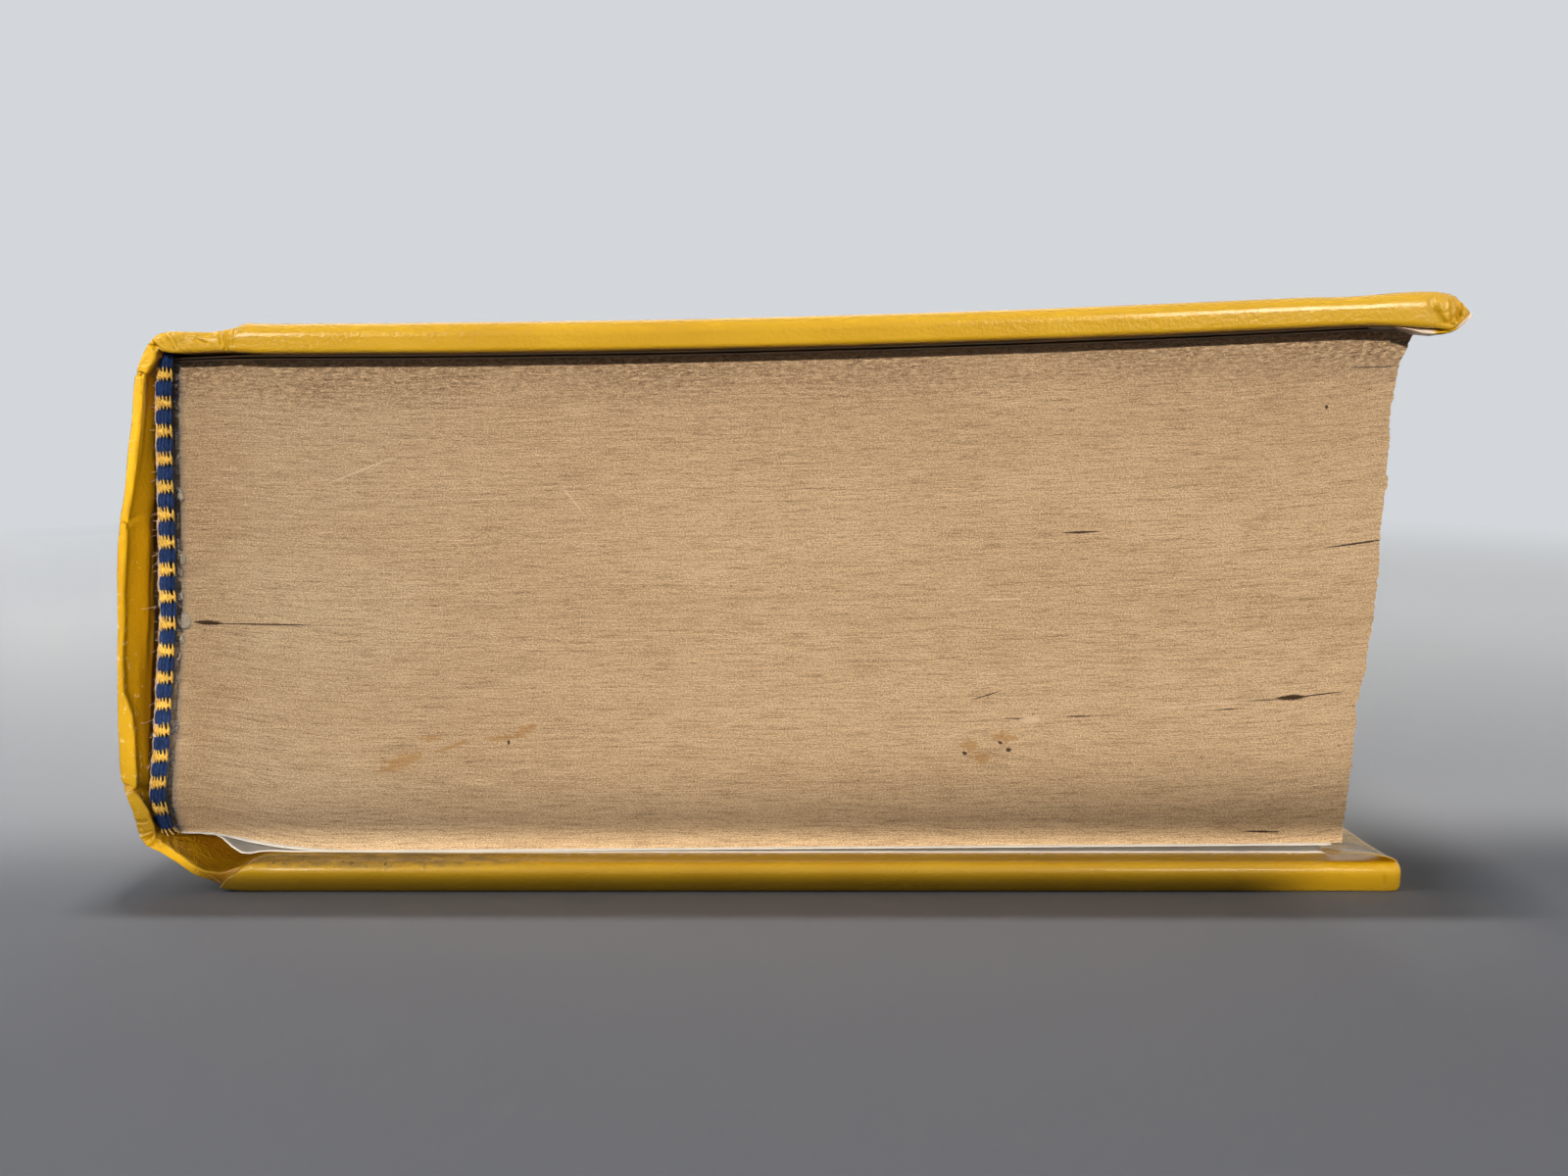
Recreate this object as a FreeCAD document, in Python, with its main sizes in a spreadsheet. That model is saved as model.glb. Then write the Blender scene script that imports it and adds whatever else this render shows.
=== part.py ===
"""Hardcover book with a hollow spine, closed and lying on its back cover.

Millimetres. +Z is up, the head edge faces -Y and the spine faces -X. The origin is the centre of
the box's underside. The case is drawn once, as a closed outline in the XZ plane: the cover paper
is the skin of that outline, and the boards and the spine inlay are what fills it. Every other
sheet is a band beside a line that is shared with what it lies on.
"""
import FreeCAD, Part
import math
import os
import Sketcher
from FreeCAD import Placement, Rotation, Vector

doc = FreeCAD.newDocument("HardcoverBook")

# ------------------------------------------------------------------ driving dimensions

SIZES = {
    "page_width": 138.4,
    "page_height": 215.9,
    "block_thickness": 56.95,
    "fore_edge_swell": 0.9,
    "fore_edge_rough": 0.6,
    "square": 3.175,
    "board_width": 137.4,
    "board_thickness": 3.0,
    "board_bow_radius": 2430,
    "board_corner_radius": 3,
    "cover_paper": 0.16,
    "turn_in": 15,
    "endpaper": 0.15,
    "pastedown_margin": 6.5,
    "leaf_clearance": 0.3,
    "front_joint": 6.8,
    "joint_drop": 1.2,
    "groove_width": 1.9,
    "groove_drop": 0.8,
    "back_edge_run": 2.5,
    "back_edge_lift": 0.45,
    "bevel_width": 4.2,
    "bevel_depth": 1.6,
    "lean": 6.2,
    "shoulder_setback": 3.46,
    "spine_radius": 175,
    "spine_foot_radius": 27,
    "spine_belly_height": 16,
    "shoulder_radius": 2.5,
    "shoulder_reach": 1.3,
    "spine_inlay": 0.5,
    "inlay_top_gap": 0.5,
    "inlay_foot_gap": 6,
    "back_hinge_height": 6.4,
    "heel_crease_run": 0.9,
    "heel_crease_drop": 1.2,
    "heel_lip": 1.1,
    "heel_lip_height": 5.4,
    "backbone_reach": 2.2,
    "backbone_drop": 0.3,
    "backbone_lean": 1.4,
    "heel_reach": 2.4,
    "heel_swell": 0.9,
    "heel_height": 4.7,
    "fold_run": 5.1,
    "fold_drop": 0.1,
    "endpaper_rise": 2.3,
    "endpaper_curve_radius": 55,
    "glue": 0.2,
    "paste": 0.02,
    "mull": 0.15,
    "mull_margin": 1.1,
    "mull_flange": 20,
    "lining": 0.15,
    "headband_width": 1.65,
    "headband_rise": 1.7,
    "headband_ribbon": 9,
    "ribbon_thickness": 0.2,
}

# Levels and corner places that follow from the sizes.
PLACES = {
    "covered_board": "Sizes.board_thickness + 2 * Sizes.cover_paper",
    "cover_height": "Sizes.page_height + 2 * Sizes.square",
    "leaf_level": "covered_board + Sizes.endpaper + Sizes.leaf_clearance",
    "block_floor": "leaf_level + Sizes.endpaper",
    "block_top": "block_floor + Sizes.block_thickness",
    "front_outer": "block_top + block_floor",
    "front_inner": "front_outer - covered_board",
    "front_hinge_level": "front_outer - Sizes.joint_drop",
    "shoulder_foot": "front_hinge_level - 0.95 * Sizes.shoulder_radius",
    "spine_rise": "shoulder_foot - Sizes.spine_belly_height",
    "spine_sag": "Sizes.spine_radius - sqrt(pow(Sizes.spine_radius; 2) - pow(spine_rise; 2))",
    "spine_reach": "Sizes.shoulder_setback + spine_sag",
    "half_width": "(Sizes.board_width + Sizes.front_joint + spine_reach) / 2",
    "front_spine_edge": "half_width - Sizes.board_width",
    "front_hinge": "front_spine_edge - Sizes.front_joint",
    "back_fore_edge": "half_width - Sizes.lean",
    "back_spine_edge": "back_fore_edge - Sizes.board_width",
    "lip": "Sizes.spine_inlay + 2 * Sizes.cover_paper",
    "shoulder_start": "front_hinge - 0.4 * Sizes.shoulder_radius",
    "pages_top": "block_top - Sizes.backbone_drop",
    "pages_foot": "block_floor + Sizes.endpaper_rise",
    "pages_top_edge": "front_hinge - Sizes.backbone_reach",
    "mid_page": "block_floor + Sizes.block_thickness / 2",
    "window_height": "cover_height - 2 * Sizes.turn_in",
    "mull_height": "window_height - 2 * Sizes.mull_margin",
    "mull_depth": "Sizes.cover_paper - Sizes.paste",
    "paste_depth": "max(0; Sizes.mull - mull_depth) + Sizes.paste",
    "beyond": "half_width + 5",
    "above": "front_outer + 20",
    "past_ends": "cover_height / 2 + 5",
}


def add_sheet(name, rows, prefix=""):
    """Fill a spreadsheet with one named row for each size."""
    sheet = doc.addObject("Spreadsheet::Sheet", name)
    for row, (alias, value) in enumerate(rows.items(), start=1):
        sheet.set(f"A{row}", alias)
        sheet.set(f"B{row}", f"{prefix}{value}")
        sheet.setAlias(f"B{row}", alias)
    doc.recompute()
    return sheet


sizes = add_sheet("Sizes", SIZES)
places = add_sheet("Places", PLACES, prefix="=")


def spine_face(height, radius, depth="0"):
    """Formula of the X of the spine at a height, at a depth below its outer face."""
    rise = f"({height} - Sizes.spine_belly_height)"
    return f"{radius} - Places.half_width - sqrt(pow({radius} - {depth}; 2) - pow({rise}; 2))"


def bow(x, depth="0"):
    """Formula of the Z of the bowed front board at X, at a depth below its outer face."""
    reach = f"({x} - Places.front_spine_edge)"
    centre = "Places.front_outer + Sizes.board_bow_radius"
    return f"{centre} - sqrt(pow(Sizes.board_bow_radius + {depth}; 2) - pow({reach}; 2))"


# ------------------------------------------------------------------ outlines

class Corner:
    """A corner of an outline: the formulas of its X and Z, and the edge that leaves it.

    With a radius that edge is an arc. Its centre lies to the left of the way to the next corner
    where side is 1, and to the right where it is -1.
    """

    def __init__(self, x, z, radius=None, side=1):
        self.x = x
        self.z = z
        self.radius = radius
        self.side = side


def edge_geometry(start, end, radius, side):
    """A sketch line or arc between two points, and which of its ends comes first."""
    if radius is None:
        return Part.LineSegment(start, end), (1, 2)
    chord = end - start
    middle = (start + end) / 2
    left = Vector(-chord.y, chord.x, 0).normalize()
    centre = middle + left * side * math.sqrt(radius ** 2 - (chord.Length / 2) ** 2)
    first, last = (start, end) if side > 0 else (end, start)
    angles = [math.atan2(p.y - centre.y, p.x - centre.x) for p in (first, last)]
    if angles[1] < angles[0]:
        angles[1] += 2 * math.pi
    arc = Part.ArcOfCircle(Part.Circle(centre, Vector(0, 0, 1), radius), *angles)
    return arc, (1, 2) if side > 0 else (2, 1)


def draw(sketch, corners, closed):
    """Draw corners in a sketch, each held by its formulas."""
    points = [Vector(float(sketch.evalExpression(c.x)), float(sketch.evalExpression(c.z)), 0)
              for c in corners]
    count = len(corners) if closed else len(corners) - 1
    ends = []
    for i in range(count):
        after = (i + 1) % len(corners)
        radius = corners[i].radius
        value = None if radius is None else float(sketch.evalExpression(radius))
        shape, order = edge_geometry(points[i], points[after], value, corners[i].side)
        sketch.addGeometry(shape, False)
        ends.append(order)
    for i in range(count if closed else count - 1):
        after = (i + 1) % count
        sketch.addConstraint(Sketcher.Constraint("Coincident", i, ends[i][1], after, ends[after][0]))
    for i, corner in enumerate(corners):
        edge, end = (i, ends[i][0]) if i < count else (count - 1, ends[-1][1])
        for kind, value, formula in (("DistanceX", points[i].x, corner.x),
                                     ("DistanceY", points[i].y, corner.z)):
            held = sketch.addConstraint(Sketcher.Constraint(kind, -1, 1, edge, end, value))
            sketch.setExpression(f"Constraints[{held}]", formula)
        if corner.radius is not None and i < count:
            value = float(sketch.evalExpression(corner.radius))
            held = sketch.addConstraint(Sketcher.Constraint("Radius", i, value))
            sketch.setExpression(f"Constraints[{held}]", corner.radius)
    return sketch


def line(name, corners, closed=False):
    """A sketch in the XZ plane, seen from the head."""
    sketch = doc.addObject("Sketcher::SketchObject", name)
    sketch.Placement = Placement(Vector(), Rotation(Vector(1, 0, 0), 90))
    draw(sketch, corners, closed)
    doc.recompute()
    return sketch


SPINE = "Sizes.spine_radius"
FOOT = "Sizes.spine_foot_radius"
BELLY = "Sizes.spine_belly_height"
BOW = "Sizes.board_bow_radius"
HINGE_Z = "Sizes.back_hinge_height"
BOARD_THICKNESS = "Sizes.board_thickness"
FRONT_EDGE = "Places.front_spine_edge"
BACK_EDGE = "Places.back_spine_edge"


def case_outside(depth):
    """The case's outer face at a depth below it, from the front fore-edge round to the back one."""
    fore_edge = f"Places.half_width - {depth}"
    hinge_x = spine_face(HINGE_Z, FOOT, depth)
    return [
        Corner(fore_edge, bow(fore_edge, depth), f"{BOW} + {depth}", -1),
        Corner(FRONT_EDGE, f"Places.front_outer - {depth}"),
        Corner(f"{FRONT_EDGE} - Sizes.groove_width",
               f"Places.front_outer - Sizes.groove_drop - {depth}"),
        Corner("Places.front_hinge", f"Places.front_hinge_level - {depth}"),
        Corner("Places.shoulder_start", f"Places.front_hinge_level - {depth}",
               f"Sizes.shoulder_radius - {depth}"),
        Corner(spine_face("Places.shoulder_foot", SPINE, depth), "Places.shoulder_foot",
               f"{SPINE} - {depth}"),
        Corner(f"{depth} - Places.half_width", BELLY, f"{FOOT} - {depth}"),
        Corner(hinge_x, HINGE_Z),
        Corner(f"{hinge_x} + Sizes.heel_crease_run", f"{HINGE_Z} - Sizes.heel_crease_drop"),
        Corner(BACK_EDGE, f"Sizes.back_edge_lift + 1.1 * {depth}"),
        Corner(f"{BACK_EDGE} + Sizes.back_edge_run", depth),
        Corner(f"Places.back_fore_edge - {depth}", depth),
    ]


def case_inside(depth, margin):
    """The side of the case that faces the pages, at a depth below it, from back to front.

    The margin is the distance from the fore-edges.
    """
    back_z = f"Places.covered_board - {depth}"
    lip = f"(Places.lip - {depth})"
    bow_depth = f"(Places.covered_board - {depth})"
    foot = f"{HINGE_Z} + Sizes.heel_lip_height"
    top = "Places.pages_top + 0.8 * Sizes.leaf_clearance"
    fore_edge = f"Places.half_width - {margin}"
    return [
        Corner(f"Places.back_fore_edge - {margin}", back_z),
        Corner(f"{BACK_EDGE} + Sizes.bevel_width", back_z),
        Corner(f"{BACK_EDGE} + Sizes.groove_width", f"{back_z} - Sizes.bevel_depth"),
        Corner(f"{spine_face(HINGE_Z, FOOT)} + Sizes.heel_lip - {depth}",
               f"{HINGE_Z} - Sizes.cover_paper - {depth}"),
        Corner(spine_face(foot, FOOT, lip), foot, f"{FOOT} - {lip}", -1),
        Corner(f"{lip} - Places.half_width", BELLY, f"{SPINE} - {lip}", -1),
        Corner(spine_face(top, SPINE, lip), top),
        Corner(f"Places.front_hinge - Sizes.shoulder_reach - {depth}",
               f"Places.front_inner + 0.6 * Sizes.cover_paper + {depth}"),
        Corner(FRONT_EDGE, f"Places.front_inner + {depth}", f"{BOW} + {bow_depth}", 1),
        Corner(fore_edge, bow(fore_edge, bow_depth)),
    ]


# The outline of the pages, anticlockwise seen from the head.
PAGES_FOOT_EDGE = f"{spine_face(HINGE_Z, FOOT)} + Sizes.heel_reach"
FOLD_RISE = "(Sizes.endpaper_rise - Sizes.fold_drop)"
FOLD_CURVE = f"sqrt(2 * Sizes.endpaper_curve_radius * {FOLD_RISE} - pow({FOLD_RISE}; 2))"
pages_spine = [
    Corner("Places.pages_top_edge", "Places.pages_top"),
    Corner("Places.pages_top_edge - Sizes.backbone_lean", "Places.mid_page"),
    Corner(f"{PAGES_FOOT_EDGE} - Sizes.heel_swell", "Places.pages_foot + Sizes.heel_height"),
    Corner(PAGES_FOOT_EDGE, "Places.pages_foot"),
]
pages_under = [
    Corner(f"{PAGES_FOOT_EDGE} + Sizes.fold_run", "Places.pages_foot - Sizes.fold_drop",
           "Sizes.endpaper_curve_radius"),
    Corner(f"{PAGES_FOOT_EDGE} + Sizes.fold_run + {FOLD_CURVE}", "Places.block_floor"),
    Corner(f"{PAGES_FOOT_EDGE} + Sizes.page_width", "Places.block_floor + Sizes.fore_edge_swell"),
]
fore_edge_top = "Places.pages_top_edge + Sizes.page_width"
pages_over = [
    Corner(fore_edge_top, bow(fore_edge_top, "Places.block_floor"),
           f"{BOW} + Places.block_floor", -1),
    Corner(FRONT_EDGE, "Places.block_top"),
]


def rough_fore_edge(bundles=24):
    """Corners up the rough-cut fore-edge: bundles of leaves that end unevenly."""
    foot, head = pages_under[-1], pages_over[0]
    corners = []
    for i in range(1, bundles):
        share = i / bundles
        recess = 0.5 + 0.5 * math.sin(2.4 * i)
        along = f"{foot.x} + ({head.x} - ({foot.x})) * {share:.4f}"
        level = f"{foot.z} + ({head.z} - ({foot.z})) * {share:.4f}"
        corners.append(Corner(f"{along} - Sizes.fore_edge_rough * {recess:.2f}", level))
    return corners


# ------------------------------------------------------------------ solids

def extrude(name, profile, length, towards=0):
    """A prism of a profile along Y: centred, or from its own end towards the head or the tail."""
    prism = doc.addObject("Part::Extrusion", name)
    prism.Base = profile
    prism.DirMode = "Custom"
    prism.Dir = Vector(0, towards or 1, 0)
    prism.Symmetric = towards == 0
    prism.Solid = True
    prism.setExpression("LengthFwd", length)
    return prism


def band(name, path, near, thickness):
    """The face between two parallels of a path, positive to the left of the path's direction."""
    edge = path
    if near != "0":
        edge = doc.addObject("Part::Offset2D", f"{name}_edge")
        edge.Source = path
        edge.Mode = "Skin"
        edge.Join = "Intersection"
        edge.setExpression("Value", near)
    face = doc.addObject("Part::Offset2D", f"{name}_band")
    face.Source = edge
    face.Mode = "Skin"
    face.Join = "Intersection"
    face.Fill = True
    face.setExpression("Value", thickness)
    return face


def box(name, low, high):
    """A box between two corners, each given as three formulas."""
    block = doc.addObject("Part::Box", name)
    for axis, side, start, end in zip("xyz", ("Length", "Width", "Height"), low, high):
        block.setExpression(f"Placement.Base.{axis}", start)
        block.setExpression(side, f"({end}) - ({start})")
    return block


def boolean(kind, name, base, tool):
    """The cut or common of two shapes."""
    result = doc.addObject(f"Part::{kind}", name)
    result.Base = base
    result.Tool = tool
    return result


nodes = []


def node(label, solid):
    """Name a finished sub-part: it is written to a file of that name."""
    solid.Label = label
    nodes.append(solid)
    return solid


# The case: the cover paper is what is left of the outline once the boards, the hollow joints and
# the way in to them between the turn-ins are taken out.
PAPER = "Sizes.cover_paper"
case_core = extrude("case_core",
                    line("case_core_outline", case_outside(PAPER) + case_inside(PAPER, PAPER), True),
                    f"Places.cover_height - 2 * {PAPER}")
case_body = extrude("case_body",
                    line("case_outline", case_outside("0") + case_inside("0", "0"), True),
                    "Places.cover_height")
turn_in_line = line("turn_in_line", case_inside(PAPER, "Sizes.turn_in"))
window = extrude("case_window", band("window", turn_in_line, "0", f"-1.5 * {PAPER}"),
                 "Places.window_height")
case_paper = boolean("Cut", "case_paper", boolean("Cut", "case_opened", case_body, window), case_core)

# The case is divided along the two lines that its covers turn about.
FAR_LEFT = "-Places.beyond"
FAR_RIGHT = "Places.beyond"
FAR_HEAD = "-Places.past_ends"
FAR_TAIL = "Places.past_ends"
FAR_UP = "Places.above"
front_zone = box("front_zone", ("Places.front_hinge", FAR_HEAD, "Places.mid_page"),
                 (FAR_RIGHT, FAR_TAIL, FAR_UP))
spine_zone = box("spine_zone", (FAR_LEFT, FAR_HEAD, HINGE_Z),
                 ("Places.front_hinge", FAR_TAIL, FAR_UP))
back_zone = box("back_zone", (FAR_LEFT, FAR_HEAD, f"-{BOARD_THICKNESS}"),
                (FAR_RIGHT, FAR_TAIL, HINGE_Z))
node("front_cover_paper", boolean("Common", "front_wrap", case_paper, front_zone))
node("spine_cover_paper", boolean("Common", "spine_wrap", case_paper, spine_zone))
node("back_cover_paper", boolean("Common", "back_wrap", case_paper, back_zone))

# The boards and the inlay fill the case between the turn-ins.
front_space = box("front_board_space", (FRONT_EDGE, FAR_HEAD, "Places.mid_page"),
                  (FAR_RIGHT, FAR_TAIL, FAR_UP))
back_space = box("back_board_space",
                 (f"{BACK_EDGE} + Sizes.back_edge_lift", FAR_HEAD, "0"),
                 (FAR_RIGHT, FAR_TAIL, "Places.covered_board"))
inlay_space = box("inlay_space", (FAR_LEFT, FAR_HEAD, f"{HINGE_Z} + Sizes.inlay_foot_gap"),
                  ("Places.front_hinge", FAR_TAIL, "Places.shoulder_foot - Sizes.inlay_top_gap"))
node("front_board", boolean("Common", "front_core", case_core, front_space))
node("back_board", boolean("Common", "back_core", case_core, back_space))
node("spine_inlay", boolean("Common", "inlay_core", case_core, inlay_space))

# The pages: one block, cut smooth at head and tail and rough at the fore-edge.
block = doc.addObject("PartDesign::Body", "text_block")
profile = block.newObject("Sketcher::SketchObject", "page_outline")
plane = next(f for f in block.Origin.OriginFeatures if f.Role == "XZ_Plane")
profile.AttachmentSupport = [(plane, "")]
profile.MapMode = "FlatFace"
doc.recompute()
draw(profile, pages_spine + pages_under + rough_fore_edge() + pages_over, True)
leaves = block.newObject("PartDesign::Pad", "leaves")
leaves.Profile = profile
leaves.SideType = "Symmetric"
leaves.setExpression("Length", "Sizes.page_height")
node("text_block", block)

# What is glued to the spine of the pages, layer on layer.
spine_line = line("spine_line", pages_spine)
glue = band("glue", spine_line, "0", "-Sizes.glue")
gauze = band("gauze", spine_line, "-Sizes.glue", "-Sizes.mull")
OVER_MULL = "-(Sizes.glue + Sizes.mull)"
lining = band("lining", spine_line, OVER_MULL, "-Sizes.lining")
ribbon = band("ribbon", spine_line, OVER_MULL, "-Sizes.ribbon_thickness")
node("spine_glue", extrude("glue_layer", glue, "Sizes.page_height"))
node("spine_mull", extrude("mull_layer", gauze, "Places.mull_height"))
node("spine_lining", extrude("lining_layer", lining,
                             "Sizes.page_height - 2 * Sizes.headband_ribbon"))

# Headbands: a woven bead on the edge of the pages, on a ribbon that is glued down behind the lining.
bead = band("bead", spine_line, f"{OVER_MULL} - Sizes.ribbon_thickness",
            "Sizes.headband_width + Sizes.ribbon_thickness")
for label, towards in (("headband", -1), ("tailband", 1)):
    roll = extrude(f"{label}_roll", bead, "Sizes.headband_rise", towards)
    roll.setExpression("Placement.Base.y", f"{towards} * Sizes.page_height / 2")
    flange = extrude(f"{label}_ribbon", ribbon, "Sizes.headband_ribbon", -towards)
    flange.setExpression("Placement.Base.y", f"{towards} * Sizes.page_height / 2")
    node(label, boolean("Fuse", f"{label}_whole", roll, flange))

# Endpapers: a free leaf on the pages, and its other half pasted on the board.
over_line = line("over_line", pages_spine[:1] + [
    Corner(FRONT_EDGE, "Places.block_top", f"{BOW} + Places.block_floor", 1), pages_over[0]])
under_line = line("under_line", pages_spine[-1:] + pages_under)
node("front_flyleaf", extrude("front_leaf", band("front_leaf_face", over_line, "0", "Sizes.endpaper"),
                              "Sizes.page_height"))
node("back_flyleaf", extrude("back_leaf", band("back_leaf_face", under_line, "0", "-Sizes.endpaper"),
                             "Sizes.page_height"))

JOINT_START = ("Places.front_hinge + 0.1", "Places.front_inner")


def front_sheet_line(name, reach):
    """The inner side of the front cover, from its joint to a distance past the board's edge."""
    return line(name, [
        Corner(*JOINT_START),
        Corner(FRONT_EDGE, "Places.front_inner", f"{BOW} + Places.covered_board", 1),
        Corner(reach, bow(reach, "Places.covered_board")),
    ])


def back_sheet_line(name, reach):
    """The inner side of the back cover, from the fold beside the pages down on to the board."""
    return line(name, [
        Corner(f"{PAGES_FOOT_EDGE} + Sizes.fold_run - Sizes.leaf_clearance",
               "Places.pages_foot - Sizes.fold_drop - 2 * Sizes.endpaper - Sizes.leaf_clearance"),
        Corner(f"{BACK_EDGE} + Sizes.groove_width",
               "Places.covered_board - 0.5 * Sizes.bevel_depth"),
        Corner(f"{BACK_EDGE} + Sizes.bevel_width", "Places.covered_board"),
        Corner(reach, "Places.covered_board"),
    ])


front_paste_line = front_sheet_line("front_paste_line", "Places.half_width - Sizes.pastedown_margin")
back_paste_line = back_sheet_line("back_paste_line", "Places.back_fore_edge - Sizes.pastedown_margin")
front_mull_line = front_sheet_line("front_mull_line", f"{FRONT_EDGE} + Sizes.mull_flange")
back_mull_line = back_sheet_line("back_mull_line", f"{BACK_EDGE} + Sizes.mull_flange")
front_paste = band("front_paste_face", front_paste_line, "-Places.paste_depth", "-Sizes.endpaper")
back_paste = band("back_paste_face", back_paste_line, "Places.paste_depth", "Sizes.endpaper")
front_gauze = band("front_gauze_face", front_mull_line, "Places.mull_depth", "-Sizes.mull")
back_gauze = band("back_gauze_face", back_mull_line, "-Places.mull_depth", "Sizes.mull")
node("front_pastedown", extrude("front_paste", front_paste, "Sizes.page_height"))
node("back_pastedown", extrude("back_paste", back_paste, "Sizes.page_height"))
node("front_mull", extrude("front_gauze", front_gauze, "Places.mull_height"))
node("back_mull", extrude("back_gauze", back_gauze, "Places.mull_height"))

doc.recompute()

# ------------------------------------------------------------------ checks and files

for thing in doc.Objects:
    if "Invalid" in thing.State or "Error" in thing.State:
        raise RuntimeError(f"{thing.Label} failed: {thing.State}")

os.makedirs("parts", exist_ok=True)
for solid in nodes:
    shape = solid.Shape
    if shape.isNull() or not shape.isValid() or not shape.Solids:
        raise RuntimeError(f"{solid.Label} has no valid solid")
    print(f"{solid.Label}: {len(shape.Solids)} solid(s), {shape.Volume:.1f} mm3")
    shape.exportStep(f"parts/{solid.Label}.step")
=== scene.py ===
"""A thick case-bound book lying on its back cover, its head towards the front."""
import math
import random

import bmesh
import bpy
from mathutils import Matrix, Vector, noise


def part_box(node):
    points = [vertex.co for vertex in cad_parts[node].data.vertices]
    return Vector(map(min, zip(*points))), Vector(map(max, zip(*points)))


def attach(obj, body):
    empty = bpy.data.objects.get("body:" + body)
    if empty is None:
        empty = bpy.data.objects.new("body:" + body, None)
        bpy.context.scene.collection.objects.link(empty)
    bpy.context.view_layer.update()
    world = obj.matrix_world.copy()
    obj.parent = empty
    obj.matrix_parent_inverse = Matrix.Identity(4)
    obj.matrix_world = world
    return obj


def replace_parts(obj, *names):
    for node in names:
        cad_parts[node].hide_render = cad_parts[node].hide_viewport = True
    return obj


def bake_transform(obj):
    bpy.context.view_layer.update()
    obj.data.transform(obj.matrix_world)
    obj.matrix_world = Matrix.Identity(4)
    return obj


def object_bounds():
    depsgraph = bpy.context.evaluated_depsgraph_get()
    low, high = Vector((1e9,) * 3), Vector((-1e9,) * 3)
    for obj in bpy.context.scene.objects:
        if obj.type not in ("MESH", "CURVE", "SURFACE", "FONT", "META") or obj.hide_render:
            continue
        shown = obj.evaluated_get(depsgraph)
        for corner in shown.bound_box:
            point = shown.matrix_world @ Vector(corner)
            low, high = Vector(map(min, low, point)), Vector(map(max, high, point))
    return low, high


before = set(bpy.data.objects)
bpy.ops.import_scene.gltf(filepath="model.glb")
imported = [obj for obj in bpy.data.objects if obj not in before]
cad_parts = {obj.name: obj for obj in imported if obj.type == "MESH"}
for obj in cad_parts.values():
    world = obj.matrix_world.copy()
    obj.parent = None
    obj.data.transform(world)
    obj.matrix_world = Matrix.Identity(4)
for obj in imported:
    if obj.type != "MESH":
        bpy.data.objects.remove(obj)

cad_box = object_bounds()

MM = 0.001
SEAM_GAP = 1e-4 * MM
HALF_WIDTH = cad_box[1].x / MM
HALF_HEIGHT = cad_box[1].y / MM
PAGE_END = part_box("text_block")[1].y / MM
BOARD = 3.32
MULL_MARGIN = 12.9
BACK_FORE_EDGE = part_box("back_cover_paper")[1].x / MM
# Z where the front and the back half of the case meet on the spine.
SPINE_SEAM = 42.8
# How far the spine's inlay lies below both faces of the case, and in from its ends.
INLAY_SUNK = (0.2, 7.0)
LEAF_THICKNESS = 0.15


# ---- numbers and curves

def mix(a, b, share):
    """The value a share of the way from a to b."""
    return a + (b - a) * share


def ease(value, start, end):
    """0 before start, 1 after end, and a smooth climb between."""
    share = min(1.0, max(0.0, (value - start) / (end - start)))
    return share * share * (3 - 2 * share)


def bell(value, centre, width):
    """1 at the centre, falling smoothly to nothing."""
    return math.exp(-((value - centre) / width) ** 2)


def follow(table, value):
    """Read a table of rows (key, a, b ...) at a value, in straight steps between the rows."""
    rows = table if table[0][0] < table[-1][0] else table[::-1]
    if value <= rows[0][0]:
        return rows[0][1:]
    for low, high in zip(rows, rows[1:]):
        if value <= high[0]:
            share = (value - low[0]) / (high[0] - low[0])
            return tuple(mix(a, b, share) for a, b in zip(low[1:], high[1:]))
    return rows[-1][1:]


def smooth_path(points, step):
    """Points about a step apart on a smooth curve through all the given ones.

    The step is a distance, or a function that gives one at a point.
    """
    points = [Vector(p) for p in points]
    padded = [2 * points[0] - points[1], *points, 2 * points[-1] - points[-2]]
    made = []
    for before, start, end, after in zip(padded, padded[1:], padded[2:], padded[3:]):
        spacing = step(start) if callable(step) else step
        count = max(1, round((end - start).length / spacing))
        for k in range(count):
            t = k / count
            made.append(0.5 * (2 * start + (end - before) * t
                               + (2 * before - 5 * start + 4 * end - after) * t ** 2
                               + (3 * start - before - 3 * end + after) * t ** 3))
    return made + [points[-1]]


def patchy(point, size, seed=0.0):
    """Smooth noise from -1 to 1 whose patches have about this size."""
    return noise.noise(Vector(point) / size + Vector((seed, 3.7 * seed, 0)))


# ---- node trees

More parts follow.
